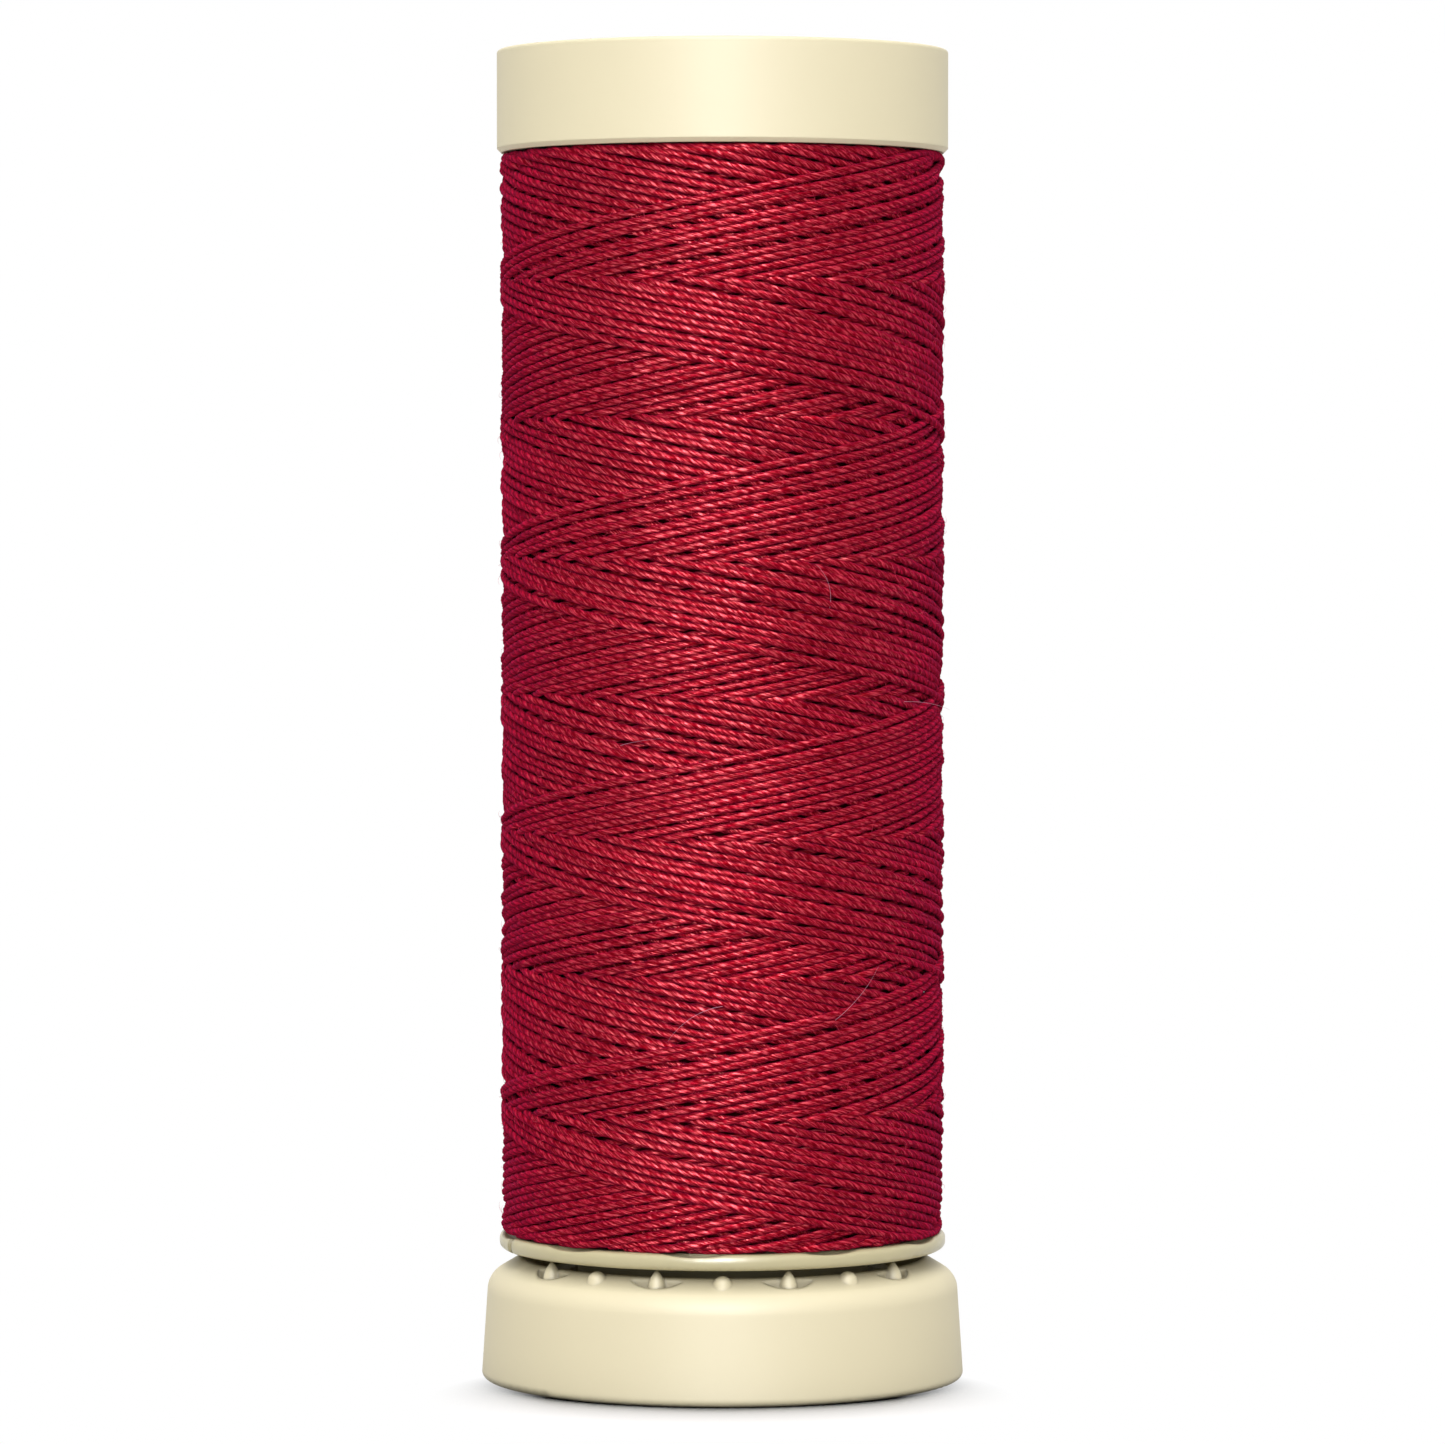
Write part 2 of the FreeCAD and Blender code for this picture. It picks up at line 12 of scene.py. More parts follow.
import bpy
import numpy as np
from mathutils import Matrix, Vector


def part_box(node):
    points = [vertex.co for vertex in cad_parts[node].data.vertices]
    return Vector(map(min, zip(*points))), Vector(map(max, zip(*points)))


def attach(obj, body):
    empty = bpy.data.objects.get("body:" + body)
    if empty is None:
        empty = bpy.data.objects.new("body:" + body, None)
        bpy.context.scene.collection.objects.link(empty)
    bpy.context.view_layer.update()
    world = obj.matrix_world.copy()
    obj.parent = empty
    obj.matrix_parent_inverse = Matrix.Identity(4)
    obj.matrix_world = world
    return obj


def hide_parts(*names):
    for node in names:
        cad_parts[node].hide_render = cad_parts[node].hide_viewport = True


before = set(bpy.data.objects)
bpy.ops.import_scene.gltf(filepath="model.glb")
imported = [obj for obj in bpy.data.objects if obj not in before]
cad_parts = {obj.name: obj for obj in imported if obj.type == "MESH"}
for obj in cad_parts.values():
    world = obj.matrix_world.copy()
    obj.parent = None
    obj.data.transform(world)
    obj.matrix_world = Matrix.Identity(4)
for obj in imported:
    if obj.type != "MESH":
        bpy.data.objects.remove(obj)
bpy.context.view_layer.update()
MM = 0.001
scene = bpy.context.scene
print("nodes:", sorted(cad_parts))

# %% [markdown]
# ## Measures taken from the frame
#
# Blender works in metres, but thread is easier to think of in millimetres, and `MM` turns one into the
# other. The winding's box gives the room that the thread may fill: its outer radius and its two ends.
# Only the barrel inside it has to be written down, because no box shows it.

# %% Measures
BARREL_RADIUS = 7.0

winding_low, winding_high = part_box("thread_winding")
WINDING_RADIUS = winding_high.x / MM
WINDING_BOTTOM = winding_low.z / MM
WINDING_LENGTH = (winding_high.z - winding_low.z) / MM
print(f"winding: radius {WINDING_RADIUS:.2f} mm, length {WINDING_LENGTH:.2f} mm")

# %% [markdown]
# ## Helpers for colours and nodes
#
# Colours are written as they look on a screen, in sRGB hex, and Blender's shaders want them linear,
# so one function turns them. Another adds a node with its settings and links in one go, and a third
# starts an empty material.


# %% Colours and nodes
def linear(hex_colour):
    """An sRGB hex colour such as "#F2EAC8" as linear red, green, blue and alpha."""
    parts = [int(hex_colour[i : i + 2], 16) / 255 for i in (1, 3, 5)]
    return [p / 12.92 if p <= 0.04045 else ((p + 0.055) / 1.055) ** 2.4 for p in parts] + [1.0]


def add(tree, kind, inputs=None, **options):
    """Adds a node: options are its settings, inputs its sockets' values or links."""
    node = tree.nodes.new("ShaderNode" + kind)
    for name, value in options.items():
        setattr(node, name, value)
    for socket, value in (inputs or {}).items():
        if isinstance(value, bpy.types.NodeSocket):
            tree.links.new(value, node.inputs[socket])
        else:
            node.inputs[socket].default_value = value
    return node


def new_material(name):
    """An empty node material and its tree."""
    material = bpy.data.materials.new(name)
    material.use_nodes = True
    material.node_tree.nodes.clear()
    return material, material.node_tree


print("screen grey #808080 is", round(linear("#808080")[0], 3), "in linear light")

# %% [markdown]
# ## Helpers for pieces
#
# A new primitive is selected all over, and the frame's pieces come in selected, so everything is
# deselected before an operator is used. Thread has far too many faces to shape with operators one by
# one, so a second helper makes a piece straight from arrays of points and faces.


# %% Pieces
def deselect():
    bpy.ops.object.select_all(action="DESELECT")


def mesh_piece(name, points, faces, material):
    """A smooth piece from arrays: points in millimetres, faces as rows of corner numbers."""
    faces = np.asarray(faces, np.int32)
    mesh = bpy.data.meshes.new(name)
    mesh.vertices.add(len(points))
    mesh.vertices.foreach_set("co", (np.asarray(points) * MM).astype(np.float32).ravel())
    mesh.loops.add(faces.size)
    mesh.loops.foreach_set("vertex_index", faces.ravel())
    mesh.polygons.add(len(faces))
    mesh.polygons.foreach_set("loop_start", np.arange(0, faces.size, faces.shape[1], dtype=np.int32))
    mesh.polygons.foreach_set("use_smooth", np.ones(len(faces), bool))
    mesh.update(calc_edges=True)
    mesh.materials.append(material)
    piece = bpy.data.objects.new(name, mesh)
    scene.collection.objects.link(piece)
    return piece


deselect()
print("objects selected:", len(bpy.context.selected_objects))

# %% [markdown]
# ## Camera
#
# The spool is seen from a little above its middle through a long lens, a third of a metre away, so
# its edges stay nearly parallel and the ends curve only slightly. A short lens close by would show
# the same piece with a swollen middle.

# %% Camera
CAMERA_DISTANCE, CAMERA_HEIGHT = 0.309, 0.041  # metres
CAMERA_PITCH = 1.924  # degrees down
SENSOR, LENS = 36.0, 165.0  # millimetres, as on a real camera
CLIP_NEAR, CLIP_FAR = 0.01, 20  # metres

camera_data = bpy.data.cameras.new("camera")
camera_data.sensor_width = SENSOR
camera_data.lens = LENS
camera_data.clip_start, camera_data.clip_end = CLIP_NEAR, CLIP_FAR
camera = bpy.data.objects.new("camera", camera_data)
camera.location = (0, -CAMERA_DISTANCE, CAMERA_HEIGHT)
camera.rotation_euler = (math.radians(90 - CAMERA_PITCH), 0, 0)
scene.collection.objects.link(camera)
scene.camera = camera
print(f"camera {CAMERA_DISTANCE} m away, its view {math.degrees(camera_data.angle):.1f} degrees wide")

# %% [markdown]
# ## White all round
#
# Small glossy goods are shot in a white sweep, which lights them softly from everywhere. The world
# does that here. It has one level for the light it gives, and full white for what the camera and
# reflections see, so the background is white without more light on the spool.

# %% White all round
WORLD_LIGHT = 0.66


def seen_directly(tree):
    """1 for what the camera, a reflection or a refraction sees, 0 for light on its way."""
    path = add(tree, "LightPath")
    seen = path.outputs["Is Camera Ray"]
    for ray in ("Is Glossy Ray", "Is Transmission Ray"):
        seen = add(tree, "Math", {0: seen, 1: path.outputs[ray]}, operation="MAXIMUM").outputs[0]
    return seen


world = bpy.data.worlds.new("white sweep")
world.use_nodes = True
world_tree = world.node_tree
world_tree.nodes.clear()
strength = add(world_tree, "MapRange", {"Value": seen_directly(world_tree), "To Min": WORLD_LIGHT})
light = add(world_tree, "Background", {"Color": (1, 1, 1, 1), "Strength": strength.outputs[0]})
add(world_tree, "OutputWorld", {"Surface": light.outputs[0]})
scene.world = world
print("world:", world.name, "with light level", WORLD_LIGHT)

# %% [markdown]
# ## Lamps
#
# A large soft lamp in front and above gives the round pieces their shape, and a weaker one overhead
# lights ledges and shoulders. Thread is silky, and its long bright band is the mirror image of a
# lamp, so a tall narrow strip is added for that. It takes no part in matt light, where it would only
# make everything flatter.

# %% Lamps
# name: place, width and height, all in metres, and power in watts
LAMPS = {
    "front softbox": ((-0.03, -0.57, 0.42), (0.2, 0.5), 2.65),
    "overhead softbox": ((0, -0.06, 0.6), (0.5, 0.3), 1.05),
    "gleam strip": ((-0.012, -0.6, 0.33), (0.12, 0.45), 10.0),
}
MIRRORED_ONLY = "gleam strip"
LAMPS_AIM = Vector((0, 0, 0.03))

for name, (place, size, power) in LAMPS.items():
    lamp = bpy.data.lights.new(name, "AREA")
    lamp.shape = "RECTANGLE"
    lamp.size, lamp.size_y = size
    lamp.energy = power
    holder = bpy.data.objects.new(name, lamp)
    holder.location = place
    holder.rotation_euler = (LAMPS_AIM - Vector(place)).to_track_quat("-Z", "Y").to_euler()
    holder.visible_diffuse = name != MIRRORED_ONLY
    scene.collection.objects.link(holder)
    print(f"{name}: {size[0]} by {size[1]} m, {power} W")

# %% [markdown]
# ## Floor
#
# The floor is matt white paper that runs up into the white behind, so its own edge never shows. What
# has to stay is the thin dark line under the foot. An ambient occlusion node tells how much of the
# sky each point of the paper sees, and the paper is greyed by that. Within a few millimetres it fades
# to plain white. The fade is centred a little in front of the spool, where the shade is wanted.

# %% Matt white paper
SHADE_REACH = 6 * MM  # how near a wall has to be to shade the paper
SHADED_SKY, OPEN_SKY = 0.6, 1.0  # shares of the sky at which the paper is black, and clean
PAPER, PAPER_POWER = 0.9, 0.5  # the clean paper's level, and the power that keeps the shade thin
BOUNCED = 0.55  # the paper's share of that for light on its way to the spool
SHADE_CENTRE = (0, -8 * MM, 0)
FADE_START, FADE_END = 8 * MM, 13.5 * MM

paper_material, paper_tree = new_material("matt white paper")
sky = add(paper_tree, "AmbientOcclusion", {"Distance": SHADE_REACH}, samples=12).outputs["AO"]
openness = add(
    paper_tree,
    "MapRange",
    {"Value": sky, "From Min": SHADED_SKY, "From Max": OPEN_SKY, "To Min": 0.0, "To Max": PAPER},
).outputs[0]
grey = add(paper_tree, "Math", {0: openness, 1: PAPER_POWER}, operation="POWER").outputs[0]
dimmed = add(paper_tree, "Math", {0: grey, 1: BOUNCED}, operation="MULTIPLY").outputs[0]
seen_paper = add(paper_tree, "BsdfDiffuse", {"Color": grey}).outputs[0]
bounced_paper = add(paper_tree, "BsdfDiffuse", {"Color": dimmed}).outputs[0]
print(paper_material.name, "shades", SHADE_REACH / MM, "mm round the foot")

# %% The sweep
FLOOR_SIZE = 3.0

white = add(paper_tree, "Emission", {"Color": (1, 1, 1, 1), "Strength": 1.0}).outputs[0]
place = add(paper_tree, "TexCoord").outputs["Object"]
distance = add(
    paper_tree, "VectorMath", {0: place, 1: SHADE_CENTRE}, operation="DISTANCE"
).outputs["Value"]
fade = add(
    paper_tree, "MapRange", {"Value": distance, "From Min": FADE_START, "From Max": FADE_END}
).outputs[0]
sweep = add(paper_tree, "MixShader", {0: fade, 1: seen_paper, 2: white}).outputs[0]
shown = add(
    paper_tree, "MixShader", {0: seen_directly(paper_tree), 1: bounced_paper, 2: sweep}
).outputs[0]
add(paper_tree, "OutputMaterial", {"Surface": shown})

deselect()
bpy.ops.mesh.primitive_plane_add(size=FLOOR_SIZE, location=(0, 0, 0))
floor = bpy.context.object
floor.name = "floor"
floor.data.materials.append(paper_material)
print(f"floor: {floor.dimensions.x:.0f} m wide")

# %% [markdown]
# ## Moulded polystyrene: patterns
#
# Core, cap and foot are injection-moulded polystyrene in cream. The dye is mixed into the plastic and
# stays faintly cloudy where it flowed into the mould. The mould's polished steel leaves a satin
# surface, with a broad shallow ripple where the plastic shrank and a very fine grain. Each is a noise
# of its own size, worked out from millimetres. The grain is coarser than real, or it wouldn't show.

# %% Patterns of the plastic
# name, size in mm, detail, roughness
PLASTIC_PATTERNS = (
    ("clouds", 5.556, 3.0, 0.5),
    ("ripple", 2.381, 2.0, 0.5),
    ("grain", 0.1923, 2.0, 0.6),
)


def plastic_patterns(tree, place):
    patterns = {}
    for name, size, detail, roughness in PLASTIC_PATTERNS:
        patterns[name] = add(
            tree,
            "TexNoise",
            {"Vector": place, "Scale": 1 / (size * MM), "Detail": detail, "Roughness": roughness},
        ).outputs["Fac"]
    return patterns


print("patterns of the plastic:", [row[0] for row in PLASTIC_PATTERNS])

# %% [markdown]
# ## Moulded polystyrene: colour
#
# The clouds move the colour between itself and a shade just under it. Then shade is painted into the
# colour: under the flange, in the pockets and round the pegs it is darker where a point has walls near
# it, which an ambient occlusion node tells. This painted shade is left out near the floor, so the
# foot's lower edge keeps its colour: it begins a few millimetres up.

# %% Colour of the plastic
CLOUD_SHADE = 0.965
# painted shade: how near a wall has to be, and how dark the colour gets there
PAINTED_SHADE_REACH, PAINTED_SHADE_LEVEL = 1.6 * MM, 0.62
WALLED_IN, OPEN_AIR = 0.35, 0.85
# the painted shade starts this high above the floor and is full from the second height up
UNSHADED_BELOW, FULLY_SHADED_ABOVE = 3 * MM, 5 * MM


def plastic_colour(tree, place, clouds, colour):
    shade = [part * CLOUD_SHADE for part in linear(colour)[:3]] + [1.0]
    tone = add(tree, "Mix", {0: clouds, 6: shade, 7: linear(colour)}, data_type="RGBA").outputs[2]
    # painted shade: the colour is darker where walls are near, as ambient occlusion tells
    air = add(tree, "AmbientOcclusion", {"Distance": PAINTED_SHADE_REACH}, samples=8).outputs["AO"]
    painted_shade = add(
        tree,
        "MapRange",
        {"Value": air, "From Min": WALLED_IN, "From Max": OPEN_AIR, "To Min": PAINTED_SHADE_LEVEL, "To Max": 1.0},
    ).outputs[0]
    # the painted shade is left off near the floor
    height = add(tree, "SeparateXYZ", {"Vector": place}).outputs["Z"]
    off_floor = add(
        tree, "MapRange", {"Value": height, "From Min": UNSHADED_BELOW, "From Max": FULLY_SHADED_ABOVE}
    ).outputs[0]
    return add(
        tree, "Mix", {0: off_floor, 6: tone, 7: painted_shade}, data_type="RGBA", blend_type="MULTIPLY"
    ).outputs[2]


print(f"dust within {PAINTED_SHADE_REACH / MM:.1f} mm of a wall, down to {PAINTED_SHADE_LEVEL:.0%} of the colour")

# %% [markdown]
# ## Moulded polystyrene: surface
#
# Ripple and grain are a few hundredths of a millimetre high, far too fine for the mesh, so Bump nodes
# draw them. No moulded edge is quite sharp either, and a Bevel node rounds it for the light, by the
# given millimetres, and leaves the frame's meshes as they are.

# %% Surface of the plastic
# pattern, strength, height in mm
PLASTIC_BUMPS = (("grain", 0.12, 0.02), ("ripple", 0.25, 0.06))


def plastic_normal(tree, patterns, edge):
    normal = add(tree, "Bevel", {"Radius": edge * MM}, samples=6).outputs[0]
    for name, strength, height in PLASTIC_BUMPS:
        normal = add(
            tree,
            "Bump",
            {
                "Height": patterns[name],
                "Strength": strength,
                "Distance": height * MM,
                "Normal": normal,
            },
        ).outputs["Normal"]
    return normal


print("bumps:", ", ".join(f"{name} {height} mm" for name, _, height in PLASTIC_BUMPS))

# %% [markdown]
# ## Moulded polystyrene: the three pieces
#
# All three are one plastic. Cap and foot are a soft satin, and the foot's edges are rounder than the
# cap's. The core is given a darker cream and a glossier finish.

# %% The three plastic pieces
CREAM, DEEPER_CREAM = "#E6DBB8", "#C6BC94"
POLYSTYRENE_IOR, SPECULAR = 1.59, 0.38
GLOSS_SPREAD = 0.04
# node: material, colour, roughness, radius of its edges in mm
PLASTIC_PIECES = {
    "top_cap": ("moulded polystyrene cap", CREAM, 0.56, 0.1),
    "snap_foot": ("moulded polystyrene foot", CREAM, 0.56, 0.25),
    "spool_core": ("moulded polystyrene core", DEEPER_CREAM, 0.3, 0.3),
}


def polystyrene(name, colour, roughness, edge):
    material, tree = new_material(name)
    place = add(tree, "TexCoord").outputs["Object"]
    patterns = plastic_patterns(tree, place)
    gloss = add(
        tree,
        "MapRange",
        {
            "Value": patterns["clouds"],
            "To Min": roughness - GLOSS_SPREAD,
            "To Max": roughness + GLOSS_SPREAD,
        },
    ).outputs[0]
    shader = add(
        tree,
        "BsdfPrincipled",
        {
            "Base Color": plastic_colour(tree, place, patterns["clouds"], colour),
            "Roughness": gloss,
            "IOR": POLYSTYRENE_IOR,
            "Specular IOR Level": SPECULAR,
            "Normal": plastic_normal(tree, patterns, edge),
        },
    )
    add(tree, "OutputMaterial", {"Surface": shader.outputs[0]})
    return material


for node, finish in PLASTIC_PIECES.items():
    material = polystyrene(*finish)
    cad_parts[node].material_slots[0].material = material
    print(node, "is", material.name)

# %% [markdown]
# ## How the thread is wound
#
# A winder turns the spool while a guide runs up and down beside it. One run up and one down is a
# course. The guide takes almost exactly eight turns for a course, so each course lands one thread's
# width beside the last, and after about 32 of them the barrel is covered once. The crossing courses
# make the herringbone: strands lean one way above a seam and the other way below it.
#
# The thread's way is worked out as one long list of samples, `turns` of the spool since the first
# course that shows, and from it an angle and a height for each sample. A curve drawn by hand could
# never keep 53 courses a thread's width apart, and the winder's own rule does.

# %% The winding law
STRAND = 0.165  # the thread's radius, mm
CELL = 0.08  # from sample to sample, mm
COURSES_TO_COVER = 32.4
COURSE_TURNS = 8 - 1 / COURSES_TO_COVER
COURSES_SHOWN, COURSES_BENEATH = 33, 20
END_TURNS = 0.12  # the part of a turn in which the guide turns back
BOTTOM_MARGIN, TOP_MARGIN = 0.17, 0.17  # mm
LAST_COURSE_ANGLE = 0.97  # where round the barrel the last course starts, in turns

TRAVEL = WINDING_LENGTH - BOTTOM_MARGIN - TOP_MARGIN
PITCH = TRAVEL / (COURSE_TURNS / 2 - END_TURNS / 2)
COURSE_GAP = PITCH / COURSES_TO_COVER
GIRTH = 2 * math.pi * WINDING_RADIUS


def run_from_end(turns):
    """Distance from a turning point in turns, with the sharp corner rounded off."""
    corner = turns**2 / END_TURNS + END_TURNS / 4
    return np.where(turns < END_TURNS / 2, corner, turns) - END_TURNS / 4


def guide_height(turns):
    """Height of the thread guide above the winding's lower end, in millimetres."""
    into = np.mod(turns, COURSE_TURNS)
    away = np.minimum(into, COURSE_TURNS - into)
    top = COURSE_TURNS / 2 - END_TURNS / 2 - run_from_end(COURSE_TURNS / 2 - away)
    return BOTTOM_MARGIN + PITCH * np.where(away < COURSE_TURNS / 4, run_from_end(away), top)


turns = np.arange(-COURSES_BENEATH * COURSE_TURNS, COURSES_SHOWN * COURSE_TURNS, CELL / GIRTH)
spool_turns = turns + LAST_COURSE_ANGLE + (COURSES_SHOWN - 1) / COURSES_TO_COVER
print(f"pitch {PITCH:.2f} mm, threads {COURSE_GAP:.3f} mm apart, {len(turns)} samples")

# %% [markdown]
# ## Numbers that change slowly
#
# What is uneven in real thread changes slowly along it, so plain random numbers, which jump, won't do.
# They are blurred over their neighbours first. The generator has a fixed seed, so each run gives the
# same spool.

# %% Slow noise
SEED = 7
BLUR_REACH = 3  # a blur's weights reach this many times its spread

random = np.random.default_rng(SEED)


def blur_weights(spread):
    reach = int(BLUR_REACH * spread)
    return np.exp(-0.5 * (np.arange(-reach, reach + 1) / spread) ** 2)


def smooth_noise(count, spread):
    """Random numbers of unit size that change slowly from one to the next."""
    weight = blur_weights(spread)
    raw = random.normal(0, 1, count + len(weight) - 1)
    return np.convolve(raw, weight, mode="valid") / math.sqrt((weight**2).sum())


def smoothed(values, spread):
    """Values blurred over their neighbours, with their ends kept."""
    weight = blur_weights(spread)
    padded = np.pad(values, len(weight) // 2, mode="edge")
    return np.convolve(padded, weight / weight.sum(), mode="valid")


print("weights of a blur of spread 1:", blur_weights(1.0).round(2))

# %% [markdown]
# ## Uneven spacing
#
# A real winding is never even: two strands touch, then a wider gap shows the layer beneath. Each
# course wanders a little from its place, more freely away from its neighbour than towards it, and
# keeps in mind where the course before it lay. A slow sway is shared by all.

# %% Uneven spacing
KNOTS = 48  # places along a course where a gap is drawn
SOFT_TOUCH = 0.985  # strands that touch press each other a little flat
SPARE = COURSE_GAP - 2 * STRAND * SOFT_TOUCH
UNEVEN, UNEVEN_KNOTS = 0.8, 2.2  # how much the gaps differ, and over how many knots
WIDEST = 0.22  # mm
MEMORY = 0.9  # the share of a course's wander that the next one keeps
SETTLED_TURNS = 0.3  # the wander dies out this near to the ends
SWAYS = ((2.3, 0.03), (5.1, 0.03), (0.9, 0.015))  # period in turns, size in mm
NEAREST_END = 0.9 * STRAND  # mm


def wander():
    """How far each sample lies from its even place, along the barrel."""
    courses = COURSES_BENEATH + COURSES_SHOWN
    knots, lag = [], np.zeros(KNOTS)
    for _ in range(courses):
        gap = SPARE * np.exp(UNEVEN * smooth_noise(KNOTS, UNEVEN_KNOTS) - UNEVEN**2 / 2)
        lag = lag * MEMORY + np.minimum(gap, WIDEST) - SPARE
        knots.append(lag)
    along = (turns / COURSE_TURNS + COURSES_BENEATH) * KNOTS
    drift = np.interp(along, np.arange(courses * KNOTS), np.concatenate(knots))
    into = np.mod(turns, COURSE_TURNS)
    drift = np.where(into < COURSE_TURNS / 2, drift, -drift)
    half = np.mod(turns, COURSE_TURNS / 2)
    from_end = np.minimum(half, COURSE_TURNS / 2 - half)
    drift = drift * np.clip(from_end / SETTLED_TURNS, 0, 1)
    for period, size in SWAYS:
        drift = drift + size * np.sin(2 * math.pi * (turns / period + random.random()))
    return drift


drift = wander()
heights = np.clip(guide_height(turns) + drift, NEAREST_END, WINDING_LENGTH - NEAREST_END)
print(f"strands wander up to {np.abs(drift).max():.2f} mm from their even places")

# %% [markdown]
# ## Laying the strands on each other
#
# How far each strand stands off the barrel depends on what is already there. So the winding is built
# up as it would be on the machine: a map of the barrel, in cells of 0.08 mm, holds the height of the
# thread so far. Each half course reads the map under it, rides over the crests because it is under
# tension, sinks in a little because thread is soft, and is then added to the map.

# %% Helpers for laying
def rounded_end(distance, radius):
    """How far a rounded corner falls away at a distance from the end."""
    short = np.maximum(radius - distance, 0)
    return np.sqrt(np.maximum(radius**2 - short**2, 0)) - radius


def widest_near(values, reach):
    """Each value replaced by the largest within reach samples."""
    out = values.copy()
    for k in range(1, reach + 1):
        out[k:] = np.maximum(out[k:], values[:-k])
        out[:-k] = np.maximum(out[:-k], values[k:])
    return out


print("a 1 mm corner falls away by", -rounded_end(np.array([0, 0.5, 1]), 1.0).round(2), "mm")

# %% Laying the strands
SINK = 0.10  # how far a strand presses into those beneath, mm
RIDE_CELLS = 4  # cells that a taut strand bridges
COVERED_CELLS = 3  # cells each side of its middle that a strand may cover
FIRST_CORNER = 0.9  # the rounding of the layers beneath at their ends, mm
NOTHING = -9.0  # lower than any strand, mm

cells_round = int(round(GIRTH / CELL))
cells_up = int(WINDING_LENGTH / CELL) + 1
cell_heights = np.arange(cells_up) * CELL
lean = math.cos(math.atan(PITCH / GIRTH))
column = np.round(np.mod(spool_turns, 1) * cells_round).astype(int) % cells_round
row = np.clip(np.round(heights / CELL).astype(int), 0, cells_up - 1)


def lay_thread():
    """The map of the finished winding and each sample's height off the barrel's layers."""
    from_end = np.minimum(cell_heights, WINDING_LENGTH - cell_heights)
    level = np.zeros((cells_round, cells_up)) + rounded_end(from_end, FIRST_CORNER)
    stand = np.zeros_like(turns)
    half = np.floor(turns / (COURSE_TURNS / 2)).astype(int)
    starts = np.r_[0, np.flatnonzero(np.diff(half)) + 1, len(turns)]
    near = np.arange(-COVERED_CELLS, COVERED_CELLS + 1)
    for first, last in zip(starts[:-1], starts[1:]):
        z, across = heights[first:last, None], column[first:last, None]
        rows = np.clip(np.round(z / CELL).astype(int) + near, 0, cells_up - 1)
        aside = (rows * CELL - z) * lean
        under = np.abs(aside) < STRAND
        crown = np.sqrt(np.maximum(STRAND**2 - aside**2, 0))
        rest = np.where(under, level[across, rows] + crown, NOTHING).max(1)
        rest = smoothed(widest_near(rest, RIDE_CELLS), RIDE_CELLS) - SINK
        stand[first:last] = rest
        top = np.where(under, rest[:, None] + crown, NOTHING)
        np.maximum.at(level, (np.broadcast_to(across, rows.shape), rows), top)
    return level, stand


level, stand = lay_thread()
print(f"a map of {cells_round} by {cells_up} cells, heaped up to {level.max():.1f} mm")

# %% [markdown]
# ## The winding's outer form
#
# The machine sets the winding's outer form, not the heaps, so the heaps are taken out again: the mean
# height at each level, which is greatest where the guide turns, and most of the broad swells. What
# stays are the steps from strand to strand. A strand that still stands proud is pulled in, as its
# tension would do.

# %% Outer form
END_RADIUS = 0.5  # mm
LEVELLED = 0.25  # the mean height is taken over this spread along the barrel, mm
SWELL_SPREAD, KEPT_SWELL = 0.5, 0.1  # mm, and the share of a swell that stays
BURIED = 0.08  # a strand this far under the map's top still shows, mm
FLUSH = 62  # the percentage of strands on top that lie within the winding's radius
PROUD = 0.06  # the most that a strand may stand over that radius, mm


def blurred(field, spread):
    """A map blurred by spread millimetres, joined up round the barrel."""
    wide = np.concatenate([field[:, ::-1], field, field[:, ::-1]], 1)
    round_way = np.fft.fftfreq(wide.shape[0])[:, None]
    up_way = np.fft.rfftfreq(wide.shape[1])[None, :]
    weight = np.exp(-2 * (math.pi * spread / CELL) ** 2 * (round_way**2 + up_way**2))
    out = np.fft.irfft2(np.fft.rfft2(wide) * weight, s=wide.shape)
    return out[:, field.shape[1] : 2 * field.shape[1]]


profile = smoothed(level.mean(0), LEVELLED / CELL)
swell = blurred(level - profile, SWELL_SPREAD)
ends = np.minimum(heights, WINDING_LENGTH - heights)
stand_out = stand - profile[row] - (1 - KEPT_SWELL) * swell[column, row]
on_top = (stand + STRAND >= level[column, row] - BURIED) & (turns >= 0)
stand_out -= np.percentile(stand_out[on_top], FLUSH)
excess = np.maximum(stand_out, 0)
stand_out += PROUD * np.tanh(excess / PROUD) - excess
stand_out += WINDING_RADIUS - STRAND + rounded_end(ends, END_RADIUS)
low, middle, high = np.percentile(stand_out[on_top], (1, 50, 99))
print(f"centres on top from {low:.2f} to {high:.2f} mm, half of them above {middle:.2f} mm")
print(f"{on_top[turns >= 0].mean():.0%} of the thread shown is on top")

# %% [markdown]
# ## Spun polyester: patterns along the thread
#
# The thread is three plies of spun polyester, short dyed fibres, twisted together. Along each piece
# the UV map runs in millimetres one way and once round the strand the other way, and it follows the
# plies. So a noise that is stretched along it draws the fibres where they really lie. Three sizes are
# used: single fibres, which are drawn a little coarser than real ones so that they show, tufts of
# them, and the slow drift of the dye from one stretch of thread to the next.

# %% Patterns along the thread
THREAD_UV = "thread"
# name, length in mm, width as a share of the way round the strand, detail
THREAD_PATTERNS = (("fibre", 0.45, 0.07, 3.0), ("tuft", 0.6, 0.3, 2.0), ("dye", 14.0, 3.0, 1.0))


def thread_patterns(tree):
    uv = add(tree, "UVMap", uv_map=THREAD_UV).outputs[0]
    patterns = {}
    for name, length, width, detail in THREAD_PATTERNS:
        stretched = add(tree, "Mapping", {"Vector": uv, "Scale": (1 / length, 1 / width, 1.0)})
        patterns[name] = add(
            tree,
            "TexNoise",
            {"Vector": stretched.outputs[0], "Scale": 1.0, "Detail": detail, "Roughness": 0.6},
            noise_dimensions="2D",
        ).outputs["Fac"]
    return patterns


